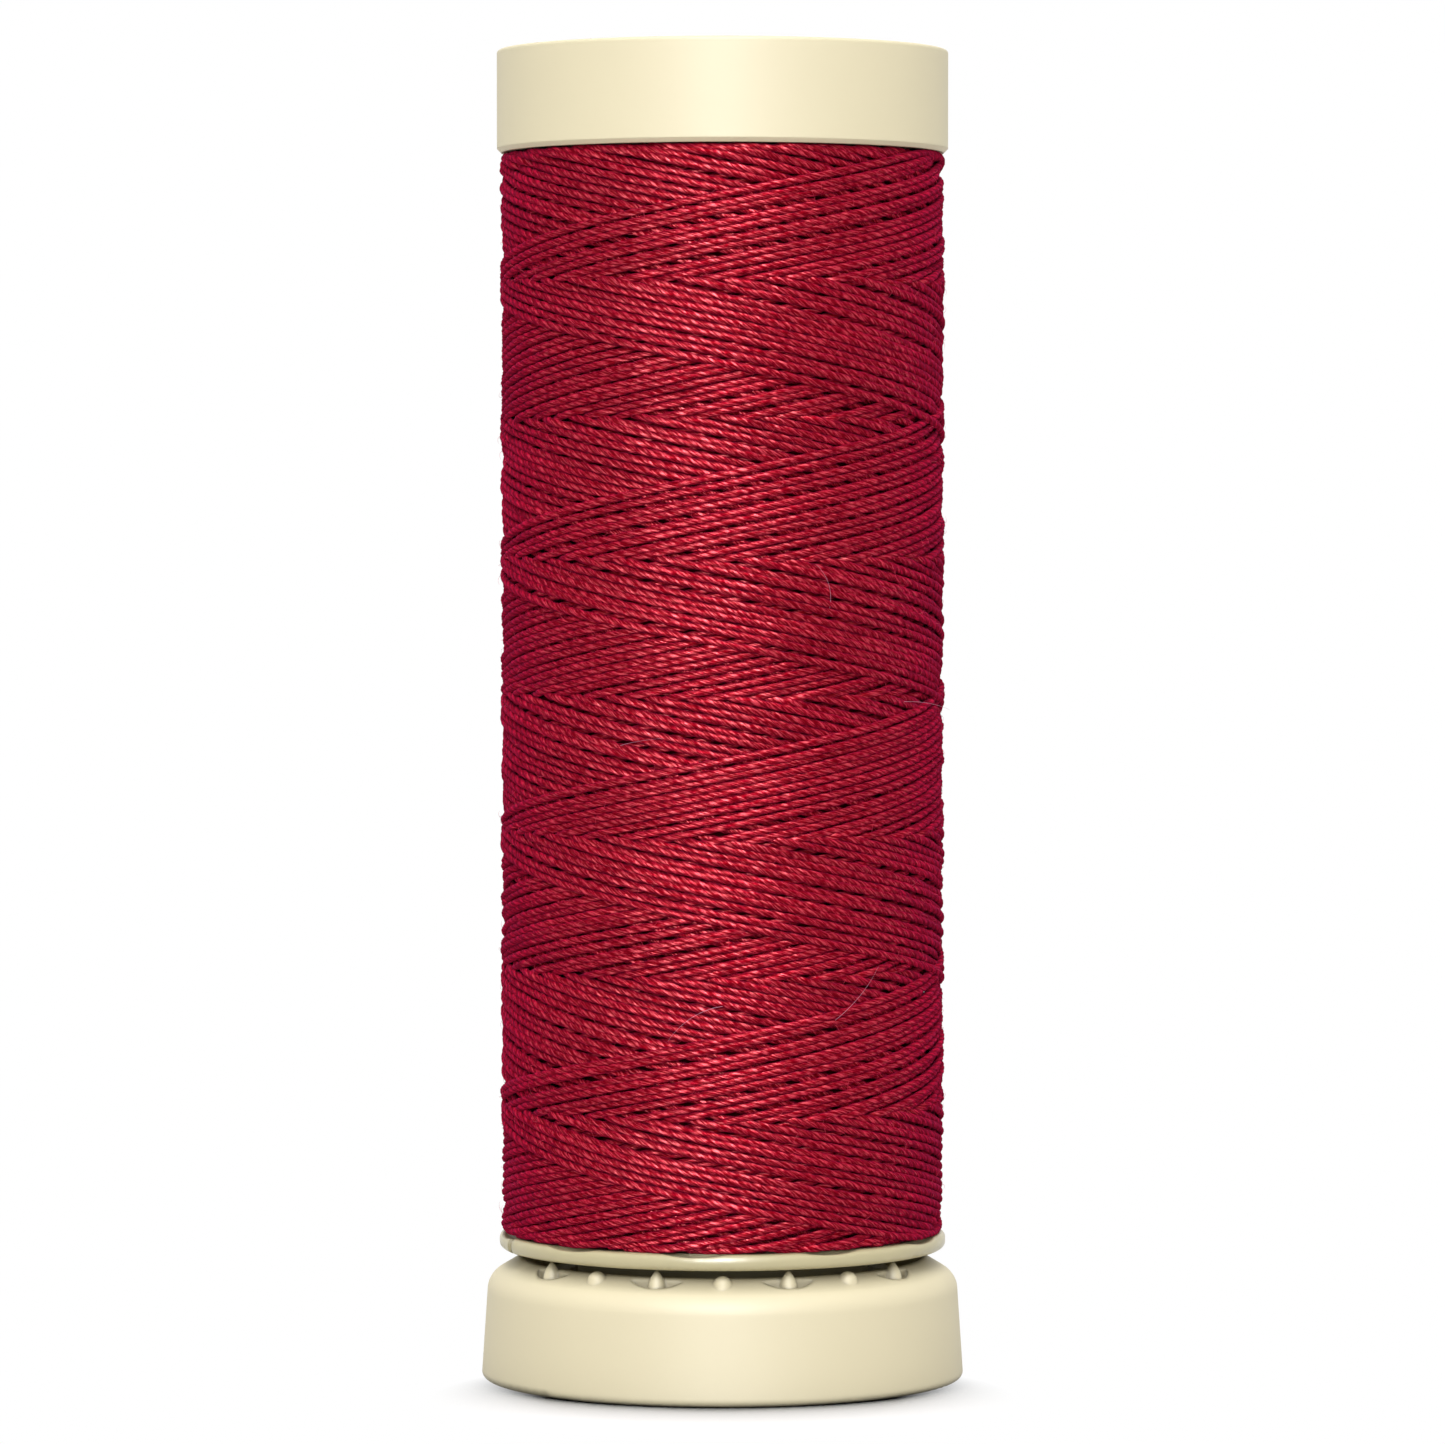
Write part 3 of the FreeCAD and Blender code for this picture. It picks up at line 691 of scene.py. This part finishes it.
print("patterns along the thread:", [row[0] for row in THREAD_PATTERNS])

# %% [markdown]
# ## Spun polyester: colour
#
# The dye is a deep crimson that is brighter where a fibre lies on the outside. The groove between two
# plies is darker, because light that gets in there hardly gets out. The strands carry an attribute
# that says how deep in the groove a point lies.

# %% Colour of the thread
CRIMSON_DEEP, CRIMSON_BRIGHT, CRIMSON_GROOVE = "#72020F", "#C81538", "#74020C"
DYE_THIN, DYE_FULL = (0.86, 0.86, 0.86, 1), (1.1, 1.1, 1.1, 1)
FIBRE_DEEP, FIBRE_BRIGHT = 0.38, 0.62  # levels of the fibre pattern
STRETCH_THIN, STRETCH_FULL = 0.3, 0.7  # levels of the dye pattern


def thread_colour(tree, patterns, groove):
    lit = add(
        tree,
        "MapRange",
        {"Value": patterns["fibre"], "From Min": FIBRE_DEEP, "From Max": FIBRE_BRIGHT},
    ).outputs[0]
    red = add(
        tree,
        "Mix",
        {0: lit, 6: linear(CRIMSON_DEEP), 7: linear(CRIMSON_BRIGHT)},
        data_type="RGBA",
    ).outputs[2]
    depth = add(
        tree,
        "MapRange",
        {"Value": patterns["dye"], "From Min": STRETCH_THIN, "From Max": STRETCH_FULL},
    ).outputs[0]
    dyed = add(tree, "Mix", {0: depth, 6: DYE_THIN, 7: DYE_FULL}, data_type="RGBA").outputs[2]
    tinted = add(
        tree, "Mix", {0: 1.0, 6: red, 7: dyed}, data_type="RGBA", blend_type="MULTIPLY"
    ).outputs[2]
    return add(
        tree, "Mix", {0: groove, 6: tinted, 7: linear(CRIMSON_GROOVE)}, data_type="RGBA"
    ).outputs[2]


print("thread colours:", CRIMSON_DEEP, CRIMSON_BRIGHT, CRIMSON_GROOVE)

# %% [markdown]
# ## Spun polyester: gloss
#
# Polyester fibres are smooth rods, so they shine like silk: a broad streak across the way they lie,
# which an anisotropic highlight gives, broken into flecks, because only some fibres catch the light.
# Only where a strand faces us are its fibres in order. Towards its edges they stand on end, the gloss
# goes, and a faint plum-coloured sheen of fuzz is left.

# %% Gloss of the thread
FACING_FROM, FACING_TO = 0.15, 0.5  # how edge-on a strand is where its gloss starts to go, and ends
FLECKS_FROM, FLECKS_TO, FLECKS = 0.48, 0.62, 1.5  # levels of the fibre pattern, and the highlight
SILKINESS = 0.28


def thread_gloss(tree, patterns, groove):
    """How much highlight the fibres give, and how silky it is."""
    edge_on = add(tree, "LayerWeight", {"Blend": 0.5}).outputs["Facing"]
    turned_away = add(
        tree, "MapRange", {"Value": edge_on, "From Min": FACING_FROM, "From Max": FACING_TO}
    ).outputs[0]
    faces_us = add(tree, "Math", {0: 1.0, 1: turned_away}, operation="SUBTRACT").outputs[0]
    fleck = add(
        tree,
        "MapRange",
        {
            "Value": patterns["fibre"],
            "From Min": FLECKS_FROM,
            "From Max": FLECKS_TO,
            "To Max": FLECKS,
        },
    ).outputs[0]
    crest = add(tree, "Math", {0: 1.0, 1: groove}, operation="SUBTRACT").outputs[0]
    polish = add(tree, "Math", {0: fleck, 1: crest}, operation="MULTIPLY").outputs[0]
    gloss = add(tree, "Math", {0: faces_us, 1: polish}, operation="MULTIPLY").outputs[0]
    silky = add(tree, "Math", {0: faces_us, 1: SILKINESS}, operation="MULTIPLY").outputs[0]
    return gloss, silky


print(f"gloss on strands up to {FACING_TO:.0%} edge-on, silkiness {SILKINESS}")

# %% [markdown]
# ## Spun polyester: surface and finish
#
# The tufts make the thread rougher here and smoother there, and a bump on the fibre pattern gives the
# fibres themselves. A Tangent node hands the shader the way they lie, from the UV map. Then the parts
# come together in one shader. Sheen, IOR and anisotropy are the same all over, so they are set on its
# sockets and not through nodes: of these, an exported model keeps only a number on the socket.

# %% Surface of the thread
SATIN_ROUGH, SATIN_SMOOTH = 0.55, 0.38
TUFT_ROUGH, TUFT_SMOOTH = 0.35, 0.65  # levels of the tuft pattern
FIBRE_RELIEF = 0.04  # mm


def thread_surface(tree, patterns):
    """How rough it is, the relief of its fibres and the way that they lie."""
    satin = add(
        tree,
        "MapRange",
        {
            "Value": patterns["tuft"],
            "From Min": TUFT_ROUGH,
            "From Max": TUFT_SMOOTH,
            "To Min": SATIN_ROUGH,
            "To Max": SATIN_SMOOTH,
        },
    ).outputs[0]
    relief = add(
        tree,
        "Bump",
        {"Height": patterns["fibre"], "Strength": 1.0, "Distance": FIBRE_RELIEF * MM},
    ).outputs[0]
    along = add(tree, "Tangent", direction_type="UV_MAP", uv_map=THREAD_UV).outputs[0]
    return satin, relief, along


print(f"roughness {SATIN_SMOOTH} to {SATIN_ROUGH}, fibres {FIBRE_RELIEF} mm high")

# %% Spun polyester
POLYESTER_IOR = 1.6
SILK_TINT, FUZZ_TINT = "#FFBAB4", "#F080E8"
FUZZ, FUZZ_ROUGHNESS = 0.085, 0.5
STREAK, QUARTER_TURN = 0.85, 0.25  # the highlight is drawn out across the fibres


def spun_polyester(name):
    material, tree = new_material(name)
    patterns = thread_patterns(tree)
    groove = add(tree, "Attribute", attribute_name="groove").outputs["Fac"]
    gloss, silky = thread_gloss(tree, patterns, groove)
    satin, relief, along = thread_surface(tree, patterns)
    shader = add(
        tree,
        "BsdfPrincipled",
        {
            "Base Color": thread_colour(tree, patterns, groove),
            "Metallic": silky,
            "Roughness": satin,
            "IOR": POLYESTER_IOR,
            "Specular IOR Level": gloss,
            "Specular Tint": linear(SILK_TINT),
            "Sheen Weight": FUZZ,
            "Sheen Roughness": FUZZ_ROUGHNESS,
            "Sheen Tint": linear(FUZZ_TINT),
            "Anisotropic": STREAK,
            "Anisotropic Rotation": QUARTER_TURN,
            "Tangent": along,
            "Normal": relief,
        },
    )
    add(tree, "OutputMaterial", {"Surface": shader.outputs[0]})
    return material


thread_material = spun_polyester("spun polyester thread")
print(thread_material.name, "has", len(thread_material.node_tree.nodes), "nodes")

# %% [markdown]
# ## The strand's outline
#
# Cut across, the strand is three soft plies with grooves between them. Its outline is drawn once, as
# a ring of twelve points: as far from the middle as the nearest ply's circle reaches.

# %% The strand's outline
PLIES = 3
PLY_RADIUS, PLY_OFFSET = 0.133, 0.05
SIDES = 12

corner = np.arange(SIDES) * 2 * math.pi / SIDES
ply_turn = 2 * math.pi / PLIES
from_crest = np.mod(corner + ply_turn / 2, ply_turn) - ply_turn / 2
outline = PLY_OFFSET * np.cos(from_crest) + np.sqrt(
    PLY_RADIUS**2 - (PLY_OFFSET * np.sin(from_crest)) ** 2
)
groove_depth = np.clip((outline.max() - outline) / np.ptp(outline), 0, 1) ** 2
print(f"ring of {SIDES} points, {2 * outline.max():.2f} by {2 * outline.min():.2f} mm")

# %% [markdown]
# ## Twist and slubs
#
# The ring turns once in every two millimetres of thread, which gives the rope its look. Spun thread
# is twisted tighter here and looser there, and is thicker and thinner in places that are called
# slubs, so both drift along the thread.

# %% Twist and slubs
LAY = 2.0  # mm of thread for one twist
TWIST_WANDER, TWIST_KNOTS = 0.8, 1.0  # size in radians, and over how many knots it changes
SLUB, SLUB_KNOTS = 0.06, 0.6  # size as a share of the thickness, and over how many knots
WANDER_LENGTH = 3.0  # mm from knot to knot

sample_length = CELL / lean
thread_at = np.arange(len(turns)) * sample_length
wander_knots = int(len(turns) * sample_length / WANDER_LENGTH)
knot_at = np.linspace(0, thread_at[-1], wander_knots)
twist_noise = np.interp(thread_at, knot_at, smooth_noise(wander_knots, TWIST_KNOTS))
twist_wander = TWIST_WANDER * twist_noise
slubs = 1 + SLUB * np.interp(thread_at, knot_at, smooth_noise(wander_knots, SLUB_KNOTS))
print(f"one twist in {LAY} mm, thickness {slubs.min():.2f} to {slubs.max():.2f}")

# %% [markdown]
# ## Rings and tubes
#
# Each strand is swept along its way as a tube of rings. A curve with a round bevel would be the quick
# way to make it, but it can't show twisted plies, so the rings are placed one by one. They are close
# together where the strand is on top, and far apart where others cover it, which saves many faces.

# %% Rings
FINE_STEP, COARSE_STEP = 0.19, 0.8  # mm from ring to ring
FINE_REACH = 3  # samples past its visible stretch that a strand stays fine


def ring_samples(first, last):
    """Sample numbers, not whole, where the rings of a stretch go, and how fine each is."""
    near = widest_near(on_top[first:last].astype(float), FINE_REACH)
    share = sample_length / np.where(near > 0.5, FINE_STEP, COARSE_STEP)
    passed = np.cumsum(share)
    rings = np.arange(passed[0], passed[-1], 1.0)
    sample = first + np.interp(rings, passed, np.arange(last - first))
    return sample, np.interp(rings, passed, near)


some = 10000
some_rings, _ = ring_samples(0, some)
print(f"{len(some_rings)} rings on the first {thread_at[some] / 1000:.2f} m")


# %% Tubes
def closed_tube(rings, sides):
    """Triangles of a tube of rings with a fan on each end, pointing outwards."""
    side = np.tile(np.arange(sides), rings - 1)
    a = np.repeat(np.arange(rings - 1) * sides, sides) + side
    b = a - side + (side + 1) % sides
    walls = np.concatenate(
        [np.stack([a, b + sides, a + sides], 1), np.stack([a, b, b + sides], 1)]
    )
    fan = np.stack([np.zeros(sides - 2), np.arange(2, sides), np.arange(1, sides - 1)], 1)
    far = (rings - 1) * sides + fan[:, ::-1]
    return np.concatenate([walls, fan, far]).astype(int), side


print("triangles in a tube of ten rings:", len(closed_tube(10, SIDES)[0]))

# %% [markdown]
# ## Sweeping a strand
#
# At each ring, one direction points along the strand, one away from the barrel and one across. The
# ring's points are placed with them and turned by the twist. The UV map and the groove attribute
# that the finish asks for are written at the same time.


# %% Points of a strand
def strand_points(sample, fine):
    """The rings' points, in millimetres, and how far along the thread each ring is."""
    index = np.arange(len(turns))
    angle = 2 * math.pi * np.interp(sample, index, spool_turns)
    radius = np.interp(sample, index, stand_out)
    height = WINDING_BOTTOM + np.interp(sample, index, heights)
    centre = np.stack([radius * np.cos(angle), radius * np.sin(angle), height], 1)
    out = np.stack([np.cos(angle), np.sin(angle), np.zeros_like(angle)], 1)
    along = np.gradient(centre, axis=0)
    along /= np.linalg.norm(along, axis=1)[:, None]
    up = np.cross(out, along)
    up /= np.linalg.norm(up, axis=1)[:, None]
    out = np.cross(along, up)
    length = np.interp(sample, index, thread_at)
    size = fine[:, None] * outline + (1 - fine[:, None]) * outline.mean()
    size = size * np.interp(sample, index, slubs)[:, None]
    wandered = np.interp(sample, index, twist_wander)
    turn = corner - (2 * math.pi * length / LAY + wandered)[:, None]
    points = (
        centre[:, None]
        + (size * np.cos(turn))[..., None] * out[:, None]
        + (size * np.sin(turn))[..., None] * up[:, None]
    )
    return points.reshape(-1, 3), length


few_points, few_lengths = strand_points(np.arange(3.0), np.ones(3))
print(f"{len(few_points)} points on the first {few_lengths[-1]:.2f} mm")


# %% Strand meshes
def strand_uv(length, side):
    """Millimetres along the thread, and the share of the way round, for every face corner."""
    near, far = np.repeat(length[:-1], SIDES), np.repeat(length[1:], SIDES)
    v, v_next = side / SIDES, (side + 1) / SIDES
    fans = 2 * (SIDES - 2)
    return np.concatenate(
        [
            np.stack([near, v, far, v_next, far, v], 1),
            np.stack([near, v, near, v_next, far, v_next], 1),
            np.zeros((fans, 6)),
        ]
    )


def strand_mesh(name, first, last):
    sample, fine = ring_samples(first, last)
    points, length = strand_points(sample, fine)
    faces, side = closed_tube(len(sample), SIDES)
    piece = mesh_piece(name, points, faces, thread_material)
    layer = piece.data.uv_layers.new(name=THREAD_UV)
    layer.data.foreach_set("uv", strand_uv(length, side).astype(np.float32).ravel())
    groove = piece.data.attributes.new("groove", "FLOAT", "POINT")
    groove.data.foreach_set("value", (groove_depth * fine[:, None]).astype(np.float32).ravel())
    return piece, length[-1] - length[0]


print("each triangle's corners have", THREAD_UV, "coordinates in mm")

# %% [markdown]
# ## The courses that show
#
# The thread is one length, but as one mesh it would be far too heavy to handle. It is cut into pieces
# of three courses each, which end where one course passes into the next.

# %% The courses that show
COURSES_IN_PIECE = 3

thread_pieces, thread_length = [], 0.0
per_course = COURSE_TURNS / (CELL / GIRTH)
start = COURSES_BENEATH * per_course
for number, course in enumerate(range(0, COURSES_SHOWN, COURSES_IN_PIECE), 1):
    first = int(start + course * per_course)
    last = min(int(start + (course + COURSES_IN_PIECE) * per_course), len(turns) - 1)
    piece, length = strand_mesh(f"thread_courses_{number:02d}", first, last)
    thread_pieces.append(piece)
    thread_length += length
    print(piece.name, len(piece.data.polygons), "triangles")
print(f"{thread_length / 1000:.1f} m of thread shown")

# %% [markdown]
# ## The layers beneath
#
# Between the strands a little of the winding beneath shows, in deep shade. More strands there would
# cost faces that nobody sees. It is one closed ring instead, turned from its outline with the spin
# tool, just under the lowest strand.

# %% The ring's outline
BENEATH = 0.9  # how far the ring lies under the winding's surface, mm
RING_CORNER = 0.8  # mm
END_ROOM, BARREL_ROOM = 0.02, 0.05  # mm
BEND = [math.radians(a) for a in range(0, 91, 15)]

ring_outer, ring_inner = WINDING_RADIUS - BENEATH, BARREL_RADIUS + BARREL_ROOM
ring_low, ring_high = WINDING_BOTTOM + END_ROOM, WINDING_BOTTOM + WINDING_LENGTH - END_ROOM
middle = ring_outer - RING_CORNER
low_corner = [
    (middle + RING_CORNER * math.sin(a), ring_low + RING_CORNER * (1 - math.cos(a))) for a in BEND
]
high_corner = [
    (middle + RING_CORNER * math.cos(a), ring_high - RING_CORNER * (1 - math.sin(a))) for a in BEND
]
ring_outline = [(ring_inner, ring_low), *low_corner, *high_corner, (ring_inner, ring_high)]
print(f"outline of {len(ring_outline)} points, {ring_inner:.2f} to {ring_outer:.2f} mm from the axis")

# %% Spinning the ring
RING_STEPS = 96

mesh = bpy.data.meshes.new("winding_beneath")
mesh.from_pydata(
    [(r * MM, 0, z * MM) for r, z in ring_outline],
    [(i, (i + 1) % len(ring_outline)) for i in range(len(ring_outline))],
    [],
)
beneath = bpy.data.objects.new("winding_beneath", mesh)
scene.collection.objects.link(beneath)
deselect()
bpy.context.view_layer.objects.active = beneath
beneath.select_set(True)
bpy.ops.object.mode_set(mode="EDIT")
bpy.ops.mesh.select_all(action="SELECT")
bpy.ops.mesh.spin(steps=RING_STEPS, angle=2 * math.pi, center=(0, 0, 0), axis=(0, 0, 1))
bpy.ops.mesh.select_all(action="SELECT")
bpy.ops.mesh.remove_doubles(threshold=0.001 * MM)
bpy.ops.mesh.normals_make_consistent(inside=False)
bpy.ops.object.mode_set(mode="OBJECT")
bpy.ops.object.shade_smooth()
print(beneath.name, len(beneath.data.polygons), "faces")

# %% [markdown]
# The same thread lies here, so its red is the groove's, deep and without gloss, because little light
# comes back out. A plain noise, as fine as the thread, keeps it from looking like a painted tube.

# %% Spun polyester in the shade
SHADE_DEEP, SHADE_BRIGHT = "#5C0108", "#980518"
SHADE_GRAIN = 0.4  # mm

material, tree = new_material("spun polyester in the shade")
place = add(tree, "TexCoord").outputs["Object"]
noise = add(
    tree, "TexNoise", {"Vector": place, "Scale": 1 / (SHADE_GRAIN * MM), "Detail": 3.0}
).outputs["Fac"]
red = add(
    tree,
    "Mix",
    {0: noise, 6: linear(SHADE_DEEP), 7: linear(SHADE_BRIGHT)},
    data_type="RGBA",
).outputs[2]
shader = add(
    tree, "BsdfPrincipled", {"Base Color": red, "Roughness": 0.8, "Specular IOR Level": 0.1}
)
add(tree, "OutputMaterial", {"Surface": shader.outputs[0]})
beneath.data.materials.append(material)
print(beneath.name, "is", material.name)

# %% [markdown]
# ## Loose fibres
#
# Spun thread is made of short fibres, and some ends stand away from it. Blender has hair for this, but
# hair is lost when a model is exported as meshes. They are far thinner than the thread, so each is one
# bent tube of three sides that tapers, rooted on a strand that is on top.

# %% Paths of loose fibres
ROOT = 0.8  # fibres start at this share of the strand's radius
BENDING = 1.1  # how far a fibre turns aside by its end, in radians
ARCH = 0.8  # the share of its arch that a fibre goes through


def fibre_paths(roots, steps, reach, lift, headings):
    """Points along each fibre: from its root, bending over and partly back to the winding."""
    angle = 2 * math.pi * spool_turns[roots]
    out = np.stack([np.cos(angle), np.sin(angle), np.zeros_like(angle)], 1)
    side = np.stack([-np.sin(angle), np.cos(angle), np.zeros_like(angle)], 1)
    up = np.array([0.0, 0.0, 1.0])
    start = out * (stand_out[roots] + STRAND * ROOT)[:, None]
    start[:, 2] += WINDING_BOTTOM + heights[roots]
    passed = np.linspace(0, 1, steps)[None, :]
    course = headings[:, None] + random.normal(0, BENDING, len(roots))[:, None] * passed
    length = reach[:, None] / (steps - 1)
    along = np.cumsum(np.cos(course) * length, 1)[..., None] * side[:, None]
    across = np.cumsum(np.sin(course) * length, 1)[..., None] * up
    raised = (lift[:, None] * np.sin(passed * math.pi * ARCH))[..., None] * out[:, None]
    return start[:, None] + along + across + raised, out


free = np.flatnonzero(on_top & (ends > END_RADIUS))
print(f"fibres may start at {len(free)} samples")

# %% Tubes for loose fibres
HAIR_SIDES = 3
TAPER = 0.7  # the share of its radius that a fibre loses by its end


def fibre_tubes(name, path, out, radius, material):
    """One piece of many thin tubes, a row of path for each."""
    along = np.gradient(path, axis=1)
    along /= np.linalg.norm(along, axis=2)[..., None]
    first = np.cross(along, out[:, None])
    first /= np.linalg.norm(first, axis=2)[..., None]
    second = np.cross(along, first)
    steps = path.shape[1]
    taper = radius * (1 - TAPER * np.linspace(0, 1, steps))
    corner = np.arange(HAIR_SIDES) * 2 * math.pi / HAIR_SIDES
    points = (
        path[:, :, None]
        + (taper[:, None] * np.cos(corner))[None, :, :, None] * first[:, :, None]
        + (taper[:, None] * np.sin(corner))[None, :, :, None] * second[:, :, None]
    ).reshape(-1, 3)
    faces, _ = closed_tube(steps, HAIR_SIDES)
    each = np.arange(len(path))[:, None, None] * steps * HAIR_SIDES
    return mesh_piece(name, points, (faces[None] + each).reshape(-1, 3), material)


print("triangles in a fibre of five rings:", len(closed_tube(5, HAIR_SIDES)[0]))

# %% [markdown]
# A single fibre is smooth polyester with light going through it, so it looks paler than the thread.
# Its highlight is tinted, or so thin a tube would shine grey against the red.

# %% Loose polyester
FIBRE_TINT = "#FF8C98"


def loose_polyester(name, colour):
    material, tree = new_material(name)
    shader = add(
        tree,
        "BsdfPrincipled",
        {
            "Base Color": linear(colour),
            "Roughness": 0.6,
            "IOR": 1.5,
            "Specular Tint": linear(FIBRE_TINT),
        },
    )
    add(tree, "OutputMaterial", {"Surface": shader.outputs[0]})
    return material


fibre_material = loose_polyester("loose polyester fibre", "#E0405A")
hair_material = loose_polyester("pale polyester fibre", "#C98CA4")
print("finishes:", fibre_material.name, "and", hair_material.name)

# %% [markdown]
# ## Two kinds of fibre
#
# A fibre that still belongs to the thread has its colour, follows the strand one way or the other and
# lies nearly flat. There are very many of them. A stray hair is longer and paler and settled on the
# winding in any direction, and a winding of this size shows only a handful.

# %% Fibres that follow the strands
FIBRES, FIBRE_RADIUS, FIBRE_STEPS = 1500, 0.009, 5
FIBRE_LENGTH, FIBRE_LIFT = (0.2, 0.65), (0.03, 0.16)  # mm
FIBRE_STRAYING = 0.5  # radians

roots = random.choice(free, FIBRES)
either_way = math.pi * random.integers(0, 2, FIBRES)
path, out = fibre_paths(
    roots,
    FIBRE_STEPS,
    random.uniform(*FIBRE_LENGTH, FIBRES),
    random.uniform(*FIBRE_LIFT, FIBRES),
    random.normal(0, FIBRE_STRAYING, FIBRES) + either_way,
)
fuzz = fibre_tubes("loose_fibres", path, out, FIBRE_RADIUS, fibre_material)
print(fuzz.name, len(fuzz.data.polygons), "triangles")

# %% Stray hairs
HAIRS, HAIR_RADIUS, HAIR_STEPS = 9, 0.015, 14
HAIR_LENGTH, HAIR_LIFT = (1.2, 3.6), (0.1, 0.2)  # mm
HAIR_FROM_END = 5.0  # mm

roots = random.choice(np.flatnonzero(on_top & (ends > HAIR_FROM_END)), HAIRS)
path, out = fibre_paths(
    roots,
    HAIR_STEPS,
    random.uniform(*HAIR_LENGTH, HAIRS),
    random.uniform(*HAIR_LIFT, HAIRS),
    random.uniform(0, 2 * math.pi, HAIRS),
)
hairs = fibre_tubes("stray_hairs", path, out, HAIR_RADIUS, hair_material)
print(hairs.name, len(hairs.data.polygons), "triangles")

# %% [markdown]
# ## Riding on the spool
#
# Each new piece rides on the body that carries it, and together they stand for the plain winding,
# which is hidden.

# %% Riding on the spool
for piece in thread_pieces + [beneath, fuzz, hairs]:
    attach(piece, "spool")
    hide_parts("thread_winding")
print(len(thread_pieces) + 3, "pieces ride on the spool")

# %% [markdown]
# ## The view transform
#
# The colours are shown through Blender's Standard view transform.

scene.view_settings.view_transform = "Standard"
bpy.context.view_layer.update()
